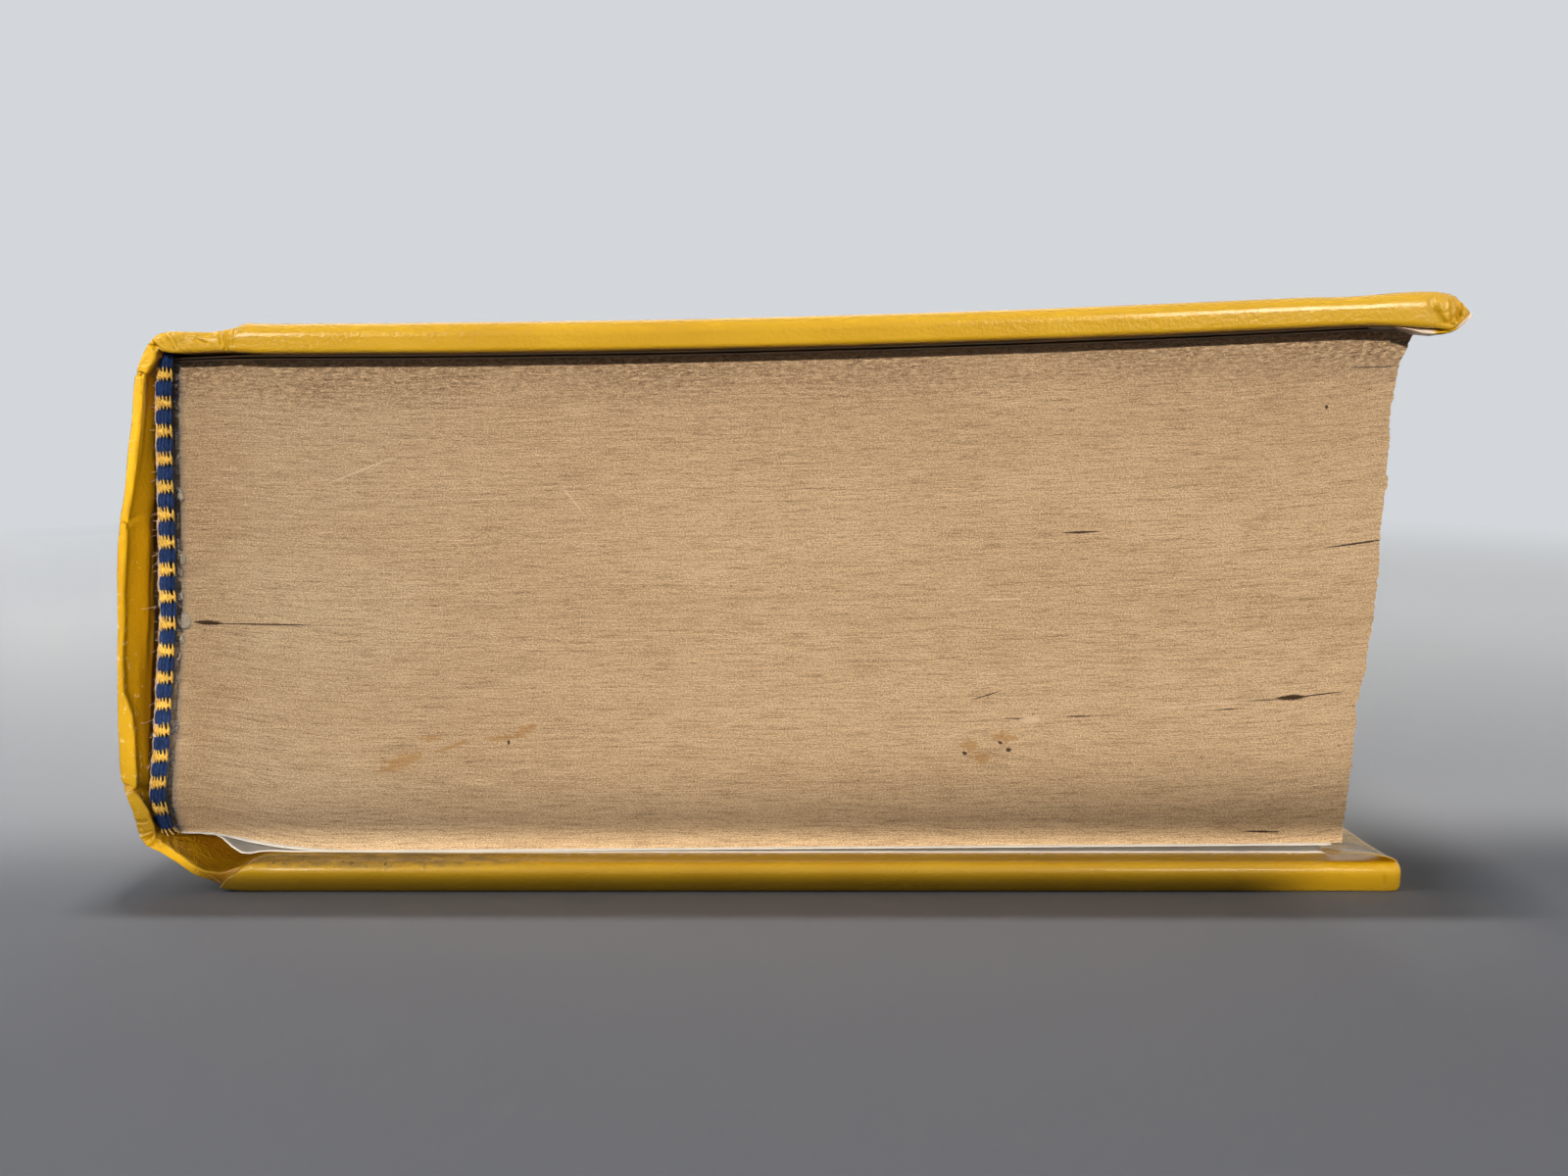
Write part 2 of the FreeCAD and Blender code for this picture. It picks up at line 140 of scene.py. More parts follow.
class Tree:
    """A node tree, with short ways to add nodes and join them."""

    def __init__(self, tree):
        self.tree = tree

    def put(self, socket, value):
        if isinstance(value, bpy.types.NodeSocket):
            self.tree.links.new(value, socket)
        else:
            socket.default_value = value

    def add(self, kind, inputs=(), **settings):
        node = self.tree.nodes.new("ShaderNode" + kind)
        for name, value in settings.items():
            setattr(node, name, value)
        for name, value in dict(inputs).items():
            self.put(node.inputs[name], value)
        return node

    def math(self, operation, *values):
        return self.add("Math", enumerate(values), operation=operation).outputs[0]

    def times(self, first, *others):
        """The product of the values."""
        for other in others:
            first = self.math("MULTIPLY", first, other)
        return first

    def total(self, first, *others):
        """The sum of a value and of others that come with a weight."""
        for value, weight in others:
            first = self.math("MULTIPLY_ADD", value, weight, first)
        return first

    def blend(self, share, a, b):
        """The colours a and b mixed, all of b at a share of 1."""
        node = self.add("Mix", data_type="RGBA")
        sockets = {s.identifier: s for s in (*node.inputs, *node.outputs)}
        for name, value in (("Factor_Float", share), ("A_Color", a), ("B_Color", b)):
            self.put(sockets[name], value)
        return sockets["Result_Color"]

    def layer(self, tone, *coats):
        """A tone under coats of paint, each a share and a display colour."""
        for share, paint in coats:
            tone = self.blend(share, tone, colour(*paint))
        return tone

    def ramp(self, value, low, high, to_low=0.0, to_high=1.0):
        """A smooth climb or fall between two levels of a value."""
        levels = {"Value": value, "From Min": low, "From Max": high, "To Min": to_low,
                  "To Max": to_high}
        return self.add("MapRange", levels, interpolation_type="SMOOTHSTEP").outputs["Result"]

    def noise(self, where, scale, detail=3.0, rough=0.55, twist=0.0):
        return self.add("TexNoise", {"Vector": where, "Scale": scale, "Detail": detail,
                                     "Roughness": rough, "Distortion": twist}).outputs["Fac"]

    def waves(self, where, pitch, axis, wander, **more):
        """Stripes across an axis, a pitch apart."""
        return self.add("TexWave", {"Vector": where, "Scale": math.pi / 10 / pitch,
                                    "Distortion": wander, "Detail": 2.0, **more},
                        bands_direction=axis).outputs["Fac"]

    def stretch(self, where, scale=(1, 1, 1), place=(0, 0, 0), turn=(0, 0, 0), kind="POINT"):
        return self.add("Mapping", {"Vector": where, "Location": place, "Rotation": turn,
                                    "Scale": scale}, vector_type=kind).outputs[0]

    def place(self, kind="Object"):
        return self.add("TexCoord").outputs[kind]

    def parts(self, vector):
        return self.add("SeparateXYZ", {0: vector}).outputs

    def painted(self, name):
        return self.add("Attribute", attribute_name=name).outputs["Fac"]

    def group(self, name, **inputs):
        node = self.add("Group", node_tree=bpy.data.node_groups[name])
        for key, value in inputs.items():
            self.put(node.inputs[key.capitalize()], value)
        return node.outputs


def new_group(name, inputs, output):
    """A shader node group with named sockets: its tree, what it is given and its output."""
    group = bpy.data.node_groups.new(name, "ShaderNodeTree")
    for label, kind in inputs:
        group.interface.new_socket(label, in_out="INPUT", socket_type=f"NodeSocket{kind}")
    group.interface.new_socket(output[0], in_out="OUTPUT", socket_type=f"NodeSocket{output[1]}")
    given, out = (group.nodes.new(f"NodeGroup{way}put") for way in ("In", "Out"))
    return Tree(group), given.outputs, out.inputs[0]


def colour(red, green, blue):
    """A display colour, 0 to 255, as the linear one that a shader takes."""
    channels = [c / 255 for c in (red, green, blue)]
    return (*[c / 12.92 if c <= 0.04045 else ((c + 0.055) / 1.055) ** 2.4 for c in channels], 1.0)


def new_material(name, **settings):
    """A material whose shader has these plain values. Returns it, its tree and its shader."""
    material = bpy.data.materials.new(name)
    material.use_nodes = True
    shader = material.node_tree.nodes["Principled BSDF"]
    for key, value in settings.items():
        shader.inputs[key.replace("_", " ").title().replace("Ior", "IOR")].default_value = value
    return material, Tree(material.node_tree), shader


def finished(made, tone, height, depth):
    """Give a new material its tone, and a relief of a height, in metres for a height of 1."""
    material, tree, shader = made
    tree.put(shader.inputs["Base Color"], tone)
    relief = tree.add("Bump", {"Height": height, "Distance": depth})
    tree.put(shader.inputs["Normal"], relief.outputs["Normal"])
    return material


def make_groups():
    """The effects that several finishes share."""
    tree, given, out = new_group("mottle", [("Place", "Vector"), ("Size", "Float"),
                                            ("Light", "Color"), ("Dark", "Color")],
                                 ("Color", "Color"))
    cloud = tree.noise(given["Place"], tree.math("DIVIDE", 1.0, given["Size"]), 4.0)
    tree.put(out, tree.blend(tree.ramp(cloud, 0.3, 0.7), given["Dark"], given["Light"]))

    tree, given, out = new_group("specks", [("Place", "Vector"), ("Size", "Float"),
                                            ("Amount", "Float")], ("Mask", "Float"))
    grain = tree.noise(given["Place"], tree.math("DIVIDE", 1.0, given["Size"]), 2.0, 0.6)
    start = tree.times(tree.math("SUBTRACT", 1.0, given["Amount"]), 0.72)
    tree.put(out, tree.ramp(grain, start, tree.math("ADD", start, 0.06)))

    # A soft-ended streak: the place is turned and scaled so that it lies between -1 and 1.
    tree, given, out = new_group("streak", [("Place", "Vector"), ("Ragged", "Float")],
                                 ("Mask", "Float"))
    parts = tree.parts(given["Place"])
    body = tree.total(tree.math("ABSOLUTE", parts["Z"]), (parts["X"], parts["X"]))
    tree.put(out, tree.ramp(tree.math("ADD", body, given["Ragged"]), 1.0, 0.5))


# ---- meshes

def bend_grid(columns, rows, place, uv=None):
    """A grid of quads bent to shape: corner (i, j) goes to place(i, j), in millimetres."""
    bm = bmesh.new()
    bmesh.ops.create_grid(bm, x_segments=columns, y_segments=rows, size=1)
    spots = [(v, round((v.co.x + 1) / 2 * columns), round((v.co.y + 1) / 2 * rows))
             for v in bm.verts]
    if uv:
        layer = bm.loops.layers.uv.new("UVMap")
    for v, i, j in spots:
        for loop in v.link_loops if uv else ():
            loop[layer].uv = uv(i, j)
        v.co = Vector(place(i, j)) * MM
    return bm


def close_seams(bm):
    """Join corners that meet, and turn the faces outwards."""
    bmesh.ops.remove_doubles(bm, verts=bm.verts, dist=SEAM_GAP)
    bmesh.ops.dissolve_degenerate(bm, edges=bm.edges, dist=SEAM_GAP)
    bmesh.ops.recalc_face_normals(bm, faces=bm.faces)
    return bm


def shown(name, data):
    """An object of its data, in the scene."""
    made = bpy.data.objects.new(name, data)
    bpy.context.scene.collection.objects.link(made)
    return made


def piece(name, bm, material, crisp=40.0, paint=()):
    """An object of a mesh. Paint is a dict of masks: name to a function of a place in mm."""
    mesh = bpy.data.meshes.new(name)
    bm.to_mesh(mesh)
    bm.free()
    for mask, reading in dict(paint).items():
        values = [reading(v.co / MM) for v in mesh.vertices]
        mesh.attributes.new(mask, "FLOAT", "POINT").data.foreach_set("value", values)
    mesh.shade_smooth()
    if crisp:
        mesh.set_sharp_from_angle(angle=math.radians(crisp))
    mesh.materials.append(material)
    return shown(name, mesh)


def walled(made, thickness):
    """Give a sheet its thickness, in millimetres, to both sides."""
    wall = made.modifiers.new("thickness", "SOLIDIFY")
    wall.thickness = thickness * MM
    wall.offset = 0.0
    return made


def strands(name, lines, thickness, material):
    """Fine threads, each along its own smooth line of points, as one mesh."""
    curve = bpy.data.curves.new(name, "CURVE")
    curve.dimensions = "3D"
    curve.bevel_depth = thickness / 2 * MM
    curve.bevel_resolution = 0
    curve.use_fill_caps = True
    curve.resolution_u = 3
    for line in lines:
        spline = curve.splines.new("NURBS")
        spline.points.add(len(line) - 1)
        for point, place in zip(spline.points, line):
            point.co = (*(Vector(place) * MM), 1.0)
        spline.order_u = 3
        spline.use_endpoint_u = True
    holder = bpy.data.objects.new(name + "_line", curve)
    mesh = bpy.data.meshes.new_from_object(holder)
    bpy.data.objects.remove(holder)
    bpy.data.curves.remove(curve)
    mesh.name = name
    mesh.shade_smooth()
    mesh.materials.clear()
    mesh.materials.append(material)
    return shown(name, mesh)


# ---- finishes

def cover_finish():
    """Yellow laminated paper: glossy, with fine orange peel, wear and soiling where painted, and a
    brown inner face that darkens as painted shade in the spine's hollow.
    """
    made = _, tree, shader = new_material("yellow_laminate", coat_weight=0.3,
                                          specular_ior_level=0.4, coat_roughness=0.08)
    place = tree.place()
    masks = ("soiled", "worn", "creased", "browned_and_shaded", "torn")
    soiled, worn, creased, browned_and_shaded, torn = (tree.painted(mask) for mask in masks)
    clouds = tree.noise(tree.stretch(place, (0.45, 1.0, 1.0)), 800.0, 6.0, 0.75)
    dirt = tree.times(tree.ramp(tree.total(clouds, (soiled, 0.5)), 0.62, 0.98),
                      tree.ramp(soiled, 0.05, 0.3))
    specks = tree.times(tree.group("specks", place=place, size=0.0005, amount=0.12)["Mask"],
                        tree.ramp(soiled, 0.1, 0.6))
    rubbed = tree.total(tree.noise(place, 900.0, 4.0, 0.7), (worn, 0.3))
    scuffed = tree.ramp(rubbed, 0.74, 0.84, 0.0, 0.7)
    clean = tree.group("mottle", place=place, size=0.012, light=colour(199, 154, 20),
                       dark=colour(191, 145, 15))["Color"]
    # A brown for the old inner face, then near-black painted shade deep in the spine's hollow.
    tint = tree.layer(clean, (tree.ramp(browned_and_shaded, 0.0, 0.5, 0.0, 0.75), (156, 96, 16)),
                      (tree.ramp(browned_and_shaded, 0.5, 1.0, 0.0, 0.85), (66, 38, 12)),
                      (dirt, (136, 108, 50)), (specks, (70, 50, 34)), (scuffed, (222, 190, 140)))
    pulp = tree.layer(colour(206, 180, 156), (tree.noise(place, 1500.0), (236, 220, 202)))
    rough = tree.total(0.25, (dirt, 0.4), (torn, 0.5), (scuffed, 0.3))
    tree.put(shader.inputs["Roughness"], tree.math("MINIMUM", rough, 1.0))
    folds = tree.math("SUBTRACT", tree.noise(place, 620.0, 4.0, 0.6, 1.2), 0.5)
    height = tree.total(tree.times(tree.math("ABSOLUTE", folds), creased),
                        (tree.noise(place, 420.0, 4.0, 0.65), 0.2),
                        (tree.noise(place, 150.0, 1.0), 0.35),
                        (tree.noise(place, 2300.0, 2.0, 0.5), 0.26))
    return finished(made, tree.blend(torn, tint, pulp), height, 0.0003)


def plain_finish(name, light, dark, grain, roughness=0.8):
    """A matt paper or card in two near tones with a fine grain."""
    made = _, tree, _ = new_material(name, roughness=roughness, specular_ior_level=0.25)
    place = tree.place()
    tone = tree.group("mottle", place=place, size=grain, light=colour(*light), dark=colour(*dark))
    return finished(made, tone["Color"], tree.noise(place, 1.6 / grain, 4.0, 0.65), 0.00008)


def woven_finish(name, light, dark, pitch):
    """Open cotton gauze: threads that cross at a pitch."""
    made = _, tree, _ = new_material(name, roughness=0.9, specular_ior_level=0.2)
    place = tree.place()
    threads = tree.math("MAXIMUM", *(tree.waves(place, pitch, axis, 0.6) for axis in "YZ"))
    return finished(made, tree.layer(colour(*dark), (threads, light)), threads, 0.0002)


# Marks on the head of the pages: x, z, half length, half width, turn in degrees.
HEAD_MARKS = {
    # Dark slits between leaves: painted shade in the openings.
    "gap_shade": [(33.0, 41.6, 2.8, 0.16, -2), (58.0, 22.35, 2.2, 0.44, -3), (61.6, 22.75, 3.4, 0.11, -7),
            (54.0, 21.95, 3.8, 0.11, -4), (50.6, 20.95, 2.8, 0.08, -4), (64.4, 40.3, 4.6, 0.15, -8),
            (55.4, 6.2, 2.8, 0.16, 1), (-67.3, 31.15, 2.0, 0.36, 3), (-60.5, 30.95, 8.5, 0.11, 1),
            (33.4, 20.1, 2.2, 0.12, 0), (25.9, 19.85, 1.8, 0.09, 0), (22.6, 22.6, 2.2, 0.09, -18)],
    "pale": [(48.0, 21.5, 8.2, 0.18, -4), (24.0, 33.9, 3.6, 0.14, -1), (27.7, 19.7, 1.4, 0.6, 0),
             (-48.9, 48.6, 5.6, 0.13, -21), (-24.9, 45.2, 3.0, 0.10, 53)],
    "stain": [(-45.8, 14.6, 3.2, 1.0, -22), (-39.5, 16.6, 3.2, 0.3, -20),
              (-33.8, 17.5, 2.4, 0.5, -3),
              (-31.2, 18.4, 1.8, 0.7, -25), (-42.3, 17.4, 1.4, 0.45, 0), (20.7, 16.6, 1.2, 0.8, 5),
              (22.1, 15.1, 1.3, 0.8, 5), (24.7, 17.6, 1.7, 0.8, 10)],
    "line": [(65.1, 60.15, 3.6, 0.13, -2)],
    "dot": [(60.1, 55.7, 0.3, 0.3, 0), (25.3, 16.1, 0.4, 0.35, 0), (24.3, 17.0, 0.35, 0.25, 30),
            (-33.1, 17.0, 0.2, 0.5, 0), (20.2, 15.7, 0.4, 0.3, 20)],
}
# How the marks look: colour, raggedness, strength.
MARK_LOOKS = {"gap_shade": ((50, 31, 20), 1.12, 0.95), "pale": ((228, 202, 168), 1.12, 0.6),
              "stain": ((172, 122, 58), 3.84, 0.55), "line": ((112, 94, 80), 1.12, 0.95),
              "dot": ((66, 48, 34), 1.12, 0.95)}
LEAF_PITCH = 0.54


def page_finish():
    """The edges of old wood-pulp leaves: fine lines along the leaves over a furry pulp, with
    painted shade towards the top, beside the headband and in slits between leaves.
    """
    made = _, tree, _ = new_material("page_edges", roughness=0.9, specular_ior_level=0.15)
    place = tree.place()
    leaves = tree.place("UV")
    head, glued, rough_cut_and_shade = (tree.painted(mask) for mask in ("head", "glued", "rough_cut_and_shade"))

    def pulp(along, across, *shape):
        return tree.noise(tree.stretch(leaves, (along, across, 1)), 1.0, *shape)

    def leaf_lines(pitch, wander):
        return tree.waves(tree.stretch(leaves, (0.30, 1, 1)), pitch, "Y", wander,
                          **{"Detail Scale": 1.6, "Detail Roughness": 0.6})

    along = tree.parts(leaves)["X"]
    broad = pulp(0.03, 0.09, 2.0)
    bundles = pulp(0.05, 0.8, 3.0, 0.7)
    dashes = pulp(1.1, 3.6, 3.0, 0.7, 0.3)
    grain = pulp(5.0, 6.5, 2.0, 0.8)
    torn = pulp(1.2, 3.4, 4.0, 0.7, 0.6)
    fibres = pulp(0.20, 3.1, 4.0, 0.75, 0.2)
    broken = tree.ramp(dashes, 0.60, 0.38, 0.05, 0.95)
    lines = [tree.times(tree.ramp(leaf_lines(pitch, wander), 0.55, 0.05, 0.0, amount), broken)
             for pitch, wander, amount in ((LEAF_PITCH, 6.0, 0.17), (LEAF_PITCH / 2, 5.5, 0.36))]
    tone = tree.layer(
        colour(207, 180, 144), (tree.ramp(along, 216.0, 290.0), (222, 188, 146)),
        (tree.ramp(broad, 0.35, 0.65, 0.25, 0.0), (186, 150, 110)),
        # Painted shade: brown beside the headband at the spine's end of the head.
        (tree.ramp(along, 219.0, 228.0, 0.30, 0.0), (156, 112, 60)),
        # Painted shade: darker towards the top, under the front board.
        (tree.times(rough_cut_and_shade, 0.45), (150, 114, 80)),
        (tree.ramp(bundles, 0.34, 0.56, 0.16, 0.0), (140, 106, 72)),
        (lines[0], (112, 80, 52)), (lines[1], (112, 80, 52)),
        (tree.ramp(fibres, 0.49, 0.34, 0.0, 0.50), (120, 88, 58)),
        (tree.ramp(fibres, 0.52, 0.66, 0.0, 0.42), (236, 208, 170)),
        (tree.ramp(dashes, 0.39, 0.28, 0.0, 0.60), (96, 66, 42)),
        (tree.ramp(grain, 0.32, 0.58, 0.55, 0.0), (124, 92, 62)),
        (tree.ramp(grain, 0.50, 0.72, 0.0, 0.75), (238, 212, 176)),
        (tree.times(rough_cut_and_shade, tree.ramp(torn, 0.48, 0.64, 0.0, 0.85)), (232, 198, 158)),
        (tree.times(rough_cut_and_shade, tree.ramp(torn, 0.44, 0.32, 0.0, 0.7)), (116, 82, 56)))
    for kind, marks in HEAD_MARKS.items():
        paint, ragged, strength = MARK_LOOKS[kind]
        wobble = tree.times(tree.math("SUBTRACT", torn, 0.5), ragged)
        for x, z, length, width, turn in marks:
            near = tree.stretch(tree.stretch(place, place=(x * MM, 0, z * MM),
                                             turn=(0, math.radians(turn), 0), kind="TEXTURE"),
                                (1 / (length * MM), 1.0, 1 / (width * MM)))
            mask = tree.group("streak", place=near, ragged=wobble)["Mask"]
            tone = tree.layer(tone, (tree.times(mask, head, strength), paint))
    tone = tree.layer(tone, (tree.times(glued, tree.ramp(grain, 0.35, 0.6)), (150, 138, 124)))
    relief = tree.total(tree.times(fibres, 0.7), (grain, 0.8), (dashes, 0.6),
                        (tree.times(torn, rough_cut_and_shade), 1.8))
    return finished(made, tone, relief, 0.00028)


def thread_finish(name, light, dark):
    """Spun cotton: fine twisted fibres."""
    made = _, tree, _ = new_material(name, roughness=0.75, specular_ior_level=0.3,
                                     sheen_weight=0.1)
    fibres = tree.noise(tree.stretch(tree.place(), (1.0, 1.0, 0.25)), 9000.0, 3.0, 0.7)
    tone = tree.layer(colour(*dark), (tree.ramp(fibres, 0.3, 0.7), light))
    return finished(made, tone, fibres, 0.00006)


def glue_finish():
    """Dried glue: thin, clear and shiny."""
    made = _, tree, _ = new_material("dried_glue", roughness=0.12, specular_ior_level=0.8,
                                     alpha=0.45)
    place = tree.place()
    tone = tree.layer(colour(214, 204, 184), (tree.noise(place, 1800.0), (166, 156, 138)))
    return finished(made, tone, tree.noise(place, 2600.0), 0.0001)


# ---- the case

BOW_RADIUS = 2430.0
FRONT_EDGE = -60.6


def bow(x):
    """How much the front board has risen at X."""
    return BOW_RADIUS - math.sqrt(BOW_RADIUS ** 2 - (x - FRONT_EDGE) ** 2)


FRONT_TOP = 64.79

# Pairs of places across the case, seen from the head: outer x, z and inner x, z.
UPPER_TURN = [
    (-59.6, 64.86, -59.6, 61.55), (-60.3, 64.76, -60.3, 61.55), (-60.9, 64.48, -60.9, 61.58),
    (-61.6, 64.24, -61.5, 61.62), (-62.4, 64.08, -62.3, 61.64), (-63.6, 63.84, -63.5, 61.60),
    (-65.4, 63.82, -65.3, 61.54), (-67.0, 63.85, -66.9, 61.48), (-68.3, 63.80, -68.2, 61.52),
    (-69.2, 63.55, -69.0, 61.68), (-69.8, 63.15, -69.3, 61.80), (-70.3, 62.65, -69.5, 61.55),
    (-70.75, 61.9, -69.65, 61.10), (-71.16, 61.15, -69.78, 60.70), (-71.5, 60.4, -70.1, 60.20),
    (-71.87, 59.54, -70.6, 59.55), (-72.02, 59.07, -71.05, 58.95), (-72.15, 58.4, -71.15, 58.4),
    (-72.32, 57.41, -71.3, 57.4), (-72.79, 54.1, -71.75, 54.1), (-73.40, 51.0, -72.3, 51.0),
    (-74.12, 46.5, -73.15, 46.5), (-74.75, 43.8, -73.82, 43.8), (-74.93, 42.8, -74.0, 42.8),
]
LOWER_TURN = [
    (-74.93, 42.8, -74.0, 42.8), (-75.20, 41.0, -74.25, 41.0), (-75.47, 38.9, -74.5, 38.9),
    (-75.75, 35.5, -74.92, 35.5), (-76.02, 31.1, -75.25, 31.1), (-76.25, 28.3, -75.6, 28.3),
    (-76.53, 24.3, -75.85, 24.3), (-76.72, 21.5, -76.0, 21.5), (-76.84, 19.2, -76.1, 19.2),
    (-76.93, 16.0, -76.15, 16.0), (-76.95, 14.0, -76.1, 14.0), (-76.72, 12.7, -75.8, 12.6),
    (-76.30, 11.1, -75.4, 11.4), (-75.90, 9.7, -75.0, 10.2), (-75.68, 8.6, -74.7, 9.2),
    (-75.58, 7.7, -74.5, 8.3), (-75.34, 6.9, -74.1, 7.5), (-75.00, 6.07, -73.7, 6.9),
    (-74.50, 5.46, -73.3, 6.45), (-73.80, 5.12, -72.9, 6.15), (-72.96, 4.72, -72.3, 5.72),
    (-70.55, 3.06, -70.2, 4.05), (-68.90, 1.75, -68.8, 2.95), (-68.00, 1.12, -68.0, 2.45),
    (-66.95, 0.55, -67.1, 2.15), (-66.2, 0.36, -66.2, 2.15), (-65.0, 0.22, -64.8, 2.60),
    (-63.6, 0.05, -63.5, 3.05), (-62.6, 0.0, -62.5, 3.30), (-61.6, 0.0, -61.6, 3.32),
]

# Where the loose turn-in swells inwards at the head of the spine: z, reach, depth.
SWELLS = [(5.6, 0, 1.2), (6.4, 0.4, 1.2), (7.2, 0.8, 1.3), (8.6, 0.8, 1.3), (10.5, 0.45, 1.3),
          (12.2, 0.0, 1.3), (12.7, 0.6, 2.4), (14.0, 1.0, 3.0), (18.5, 1.1, 3.2), (21.0, 0.95, 3.0),
          (22.6, 0.4, 2.6), (23.6, 0.0, 2.0)]


EDGE_TURNS = 6
FLAT_STEPS = 12
EDGE_ROUNDING = 0.9


def lap(head_steps, tail_steps):
    """One lap round the case's thickness, as rows (end, a, d, b, c).

    A row lies a roundings plus d millimetres in from its end, -1 at the head, and b roundings plus
    a share c of the flat below the outer face.
    """
    quarter = [math.pi / 2 * k / EDGE_TURNS for k in range(1, EDGE_TURNS)]
    rounding = [(1 - math.sin(q), 1 - math.cos(q), 0) for q in quarter]
    rounding += [(0, 1, k / FLAT_STEPS) for k in range(FLAT_STEPS + 1)]
    rounding += [(1 - math.sin(q), 1 + math.cos(q), 1) for q in quarter[::-1]]
    rows = [(1, 1, d, 0, 0) for d in tail_steps] + [(-1, 1, d, 0, 0) for d in head_steps[::-1]]
    rows += [(-1, a, 0, b, c) for a, b, c in rounding]
    rows += [(-1, 1, d, 2, 1) for d in head_steps] + [(1, 1, d, 2, 1) for d in tail_steps[::-1]]
    rows += [(1, a, 0, b, c) for a, b, c in rounding[::-1]]
    return rows


HEAD_STEPS = [0, .2, .4, .65, .95, 1.3, 1.6, 2.1, 2.7, 3.3, 3.9, 4.3, 5.0, 6.3, 8.0, 10, 12.5, 15,
              18, 22, 27, 34, 44, 56, 70, 86, 102]
TAIL_STEPS = [0, .4, 1.0, 2.0, 3.5, 6.0, 10, 15, 22, 32, 46, 62, 80, 96]
LAP = lap(HEAD_STEPS, TAIL_STEPS)
CORNER_RADIUS = 1.6
FRONT_ROUNDING = (1.6, 0.45)
BACK_ROUNDING = (0.5, 1.15)


class Rib:
    """One crossing of the case: its outer and inner places, and how it narrows at a fore-edge.

    Squeeze is the share of its height that it loses, pull how far in from the head and the tail it
    stops. Its edges have an outer and an inner rounding, and it swells at the head to a depth.
    """

    def __init__(self, outer, inner, squeeze=0.0, pull=0.0, rounding=(0.6, 0.6), swell=(0, 1)):
        self.outer = Vector(outer)
        self.inner = Vector(inner)
        self.squeeze = squeeze
        self.pull = pull
        self.rounding = rounding
        self.swell = swell

    def at(self, row):
        """The place of a row of the lap on this rib."""
        end, a, d, b, c = row
        across = self.inner - self.outer
        full = across.length
        height = full * (1 - self.squeeze)
        first, last = (min(r, share * height) for r, share in zip(self.rounding, (0.5, 0.36)))
        start = (full - height) / 2
        outside = b <= 1 and c == 0
        depth = a * (first if outside else last) + d
        if end < 0 and self.swell[0]:
            height += self.swell[0] * (1 - ease(depth, 0.3, self.swell[1]))
        if outside:
            way = start + b * first
        elif b == 1:
            way = start + first + c * (height - first - last)
        else:
            way = start + height - (2 - b) * last
        spot = self.outer + across * (way / full)
        return Vector((spot.x, end * (HALF_HEIGHT - self.pull - depth), spot.y))


def board_ribs(fore_edge, outer, inner, steps, rounding):
    """Ribs along a board from its closed fore-edge inwards. Outer and inner give Z at X."""
    ribs = []
    places = [(fore_edge - EDGE_ROUNDING * (1 - math.sin(a)),
               2 * EDGE_ROUNDING * (1 - math.cos(a)) / BOARD)
              for a in (math.pi / 2 * k / EDGE_TURNS for k in range(EDGE_TURNS, 0, -1))]
    places += [(fore_edge - d, 0.0) for d in steps]
    for x, squeeze in places:
        reach = max(0.0, x - (fore_edge - CORNER_RADIUS))
        pull = CORNER_RADIUS - math.sqrt(CORNER_RADIUS ** 2 - min(CORNER_RADIUS, reach) ** 2)
        ribs.append(Rib((x, outer(x)), (x, inner(x)), squeeze, pull, rounding))
    return ribs


def turn_ribs(table, step, rounding):
    """Ribs round a joint and the spine, smooth through a table of pairs."""
    made = []
    for p in smooth_path([(a, b, c, d) for a, b, c, d in table], step):
        board = ease(p[0], -66.5, -60.0)
        lip = ease(p[0], -70.5, -68.0) if p[1] > 30 else 0.0
        edges = tuple(mix(mix(0.28, min(r, 0.75), lip), r, board) for r in rounding)
        swell = follow(SWELLS, p[1]) if p[0] < -73 else (0, 1)
        made.append(Rib(p[0:2], p[2:4], rounding=edges, swell=swell))
    return made


def steps_along(*stretches):
    """Distances from an edge, from rows (end of a stretch, spacing)."""
    made, at = [], EDGE_ROUNDING
    for end, spacing in stretches:
        count = max(1, round((end - at) / spacing))
        made += [at + (end - at) * k / count for k in range(count)]
        at = end
    return made


def sunk(ribs, depth, pull=0.3, rounding=(0.2, 0.2)):
    """Ribs of what lies under the paper, a depth below both of its faces and in from its ends."""
    made = []
    for rib in ribs:
        if rib.squeeze > 0:
            continue
        across = (rib.inner - rib.outer).normalized() * depth
        made.append(Rib(rib.outer + across, rib.inner - across, 0.0, pull, rounding))
    return made


def wrap(name, ribs, finish, shape=lambda p, normal: p, paint=()):
    """A part of the case: a closed skin through its ribs, shaped further by a function."""
    bm = close_seams(bend_grid(len(ribs) - 1, len(LAP), lambda i, j: ribs[i].at(LAP[j % len(LAP)])))
    bm.normal_update()
    for v, normal in [(v, v.normal.copy()) for v in bm.verts]:
        v.co = shape(v.co / MM, normal) * MM
    bmesh.ops.holes_fill(bm, edges=[e for e in bm.edges if e.is_boundary], sides=0)
    bmesh.ops.recalc_face_normals(bm, faces=bm.faces)
    return piece(name, bm, finish, 60.0, paint)


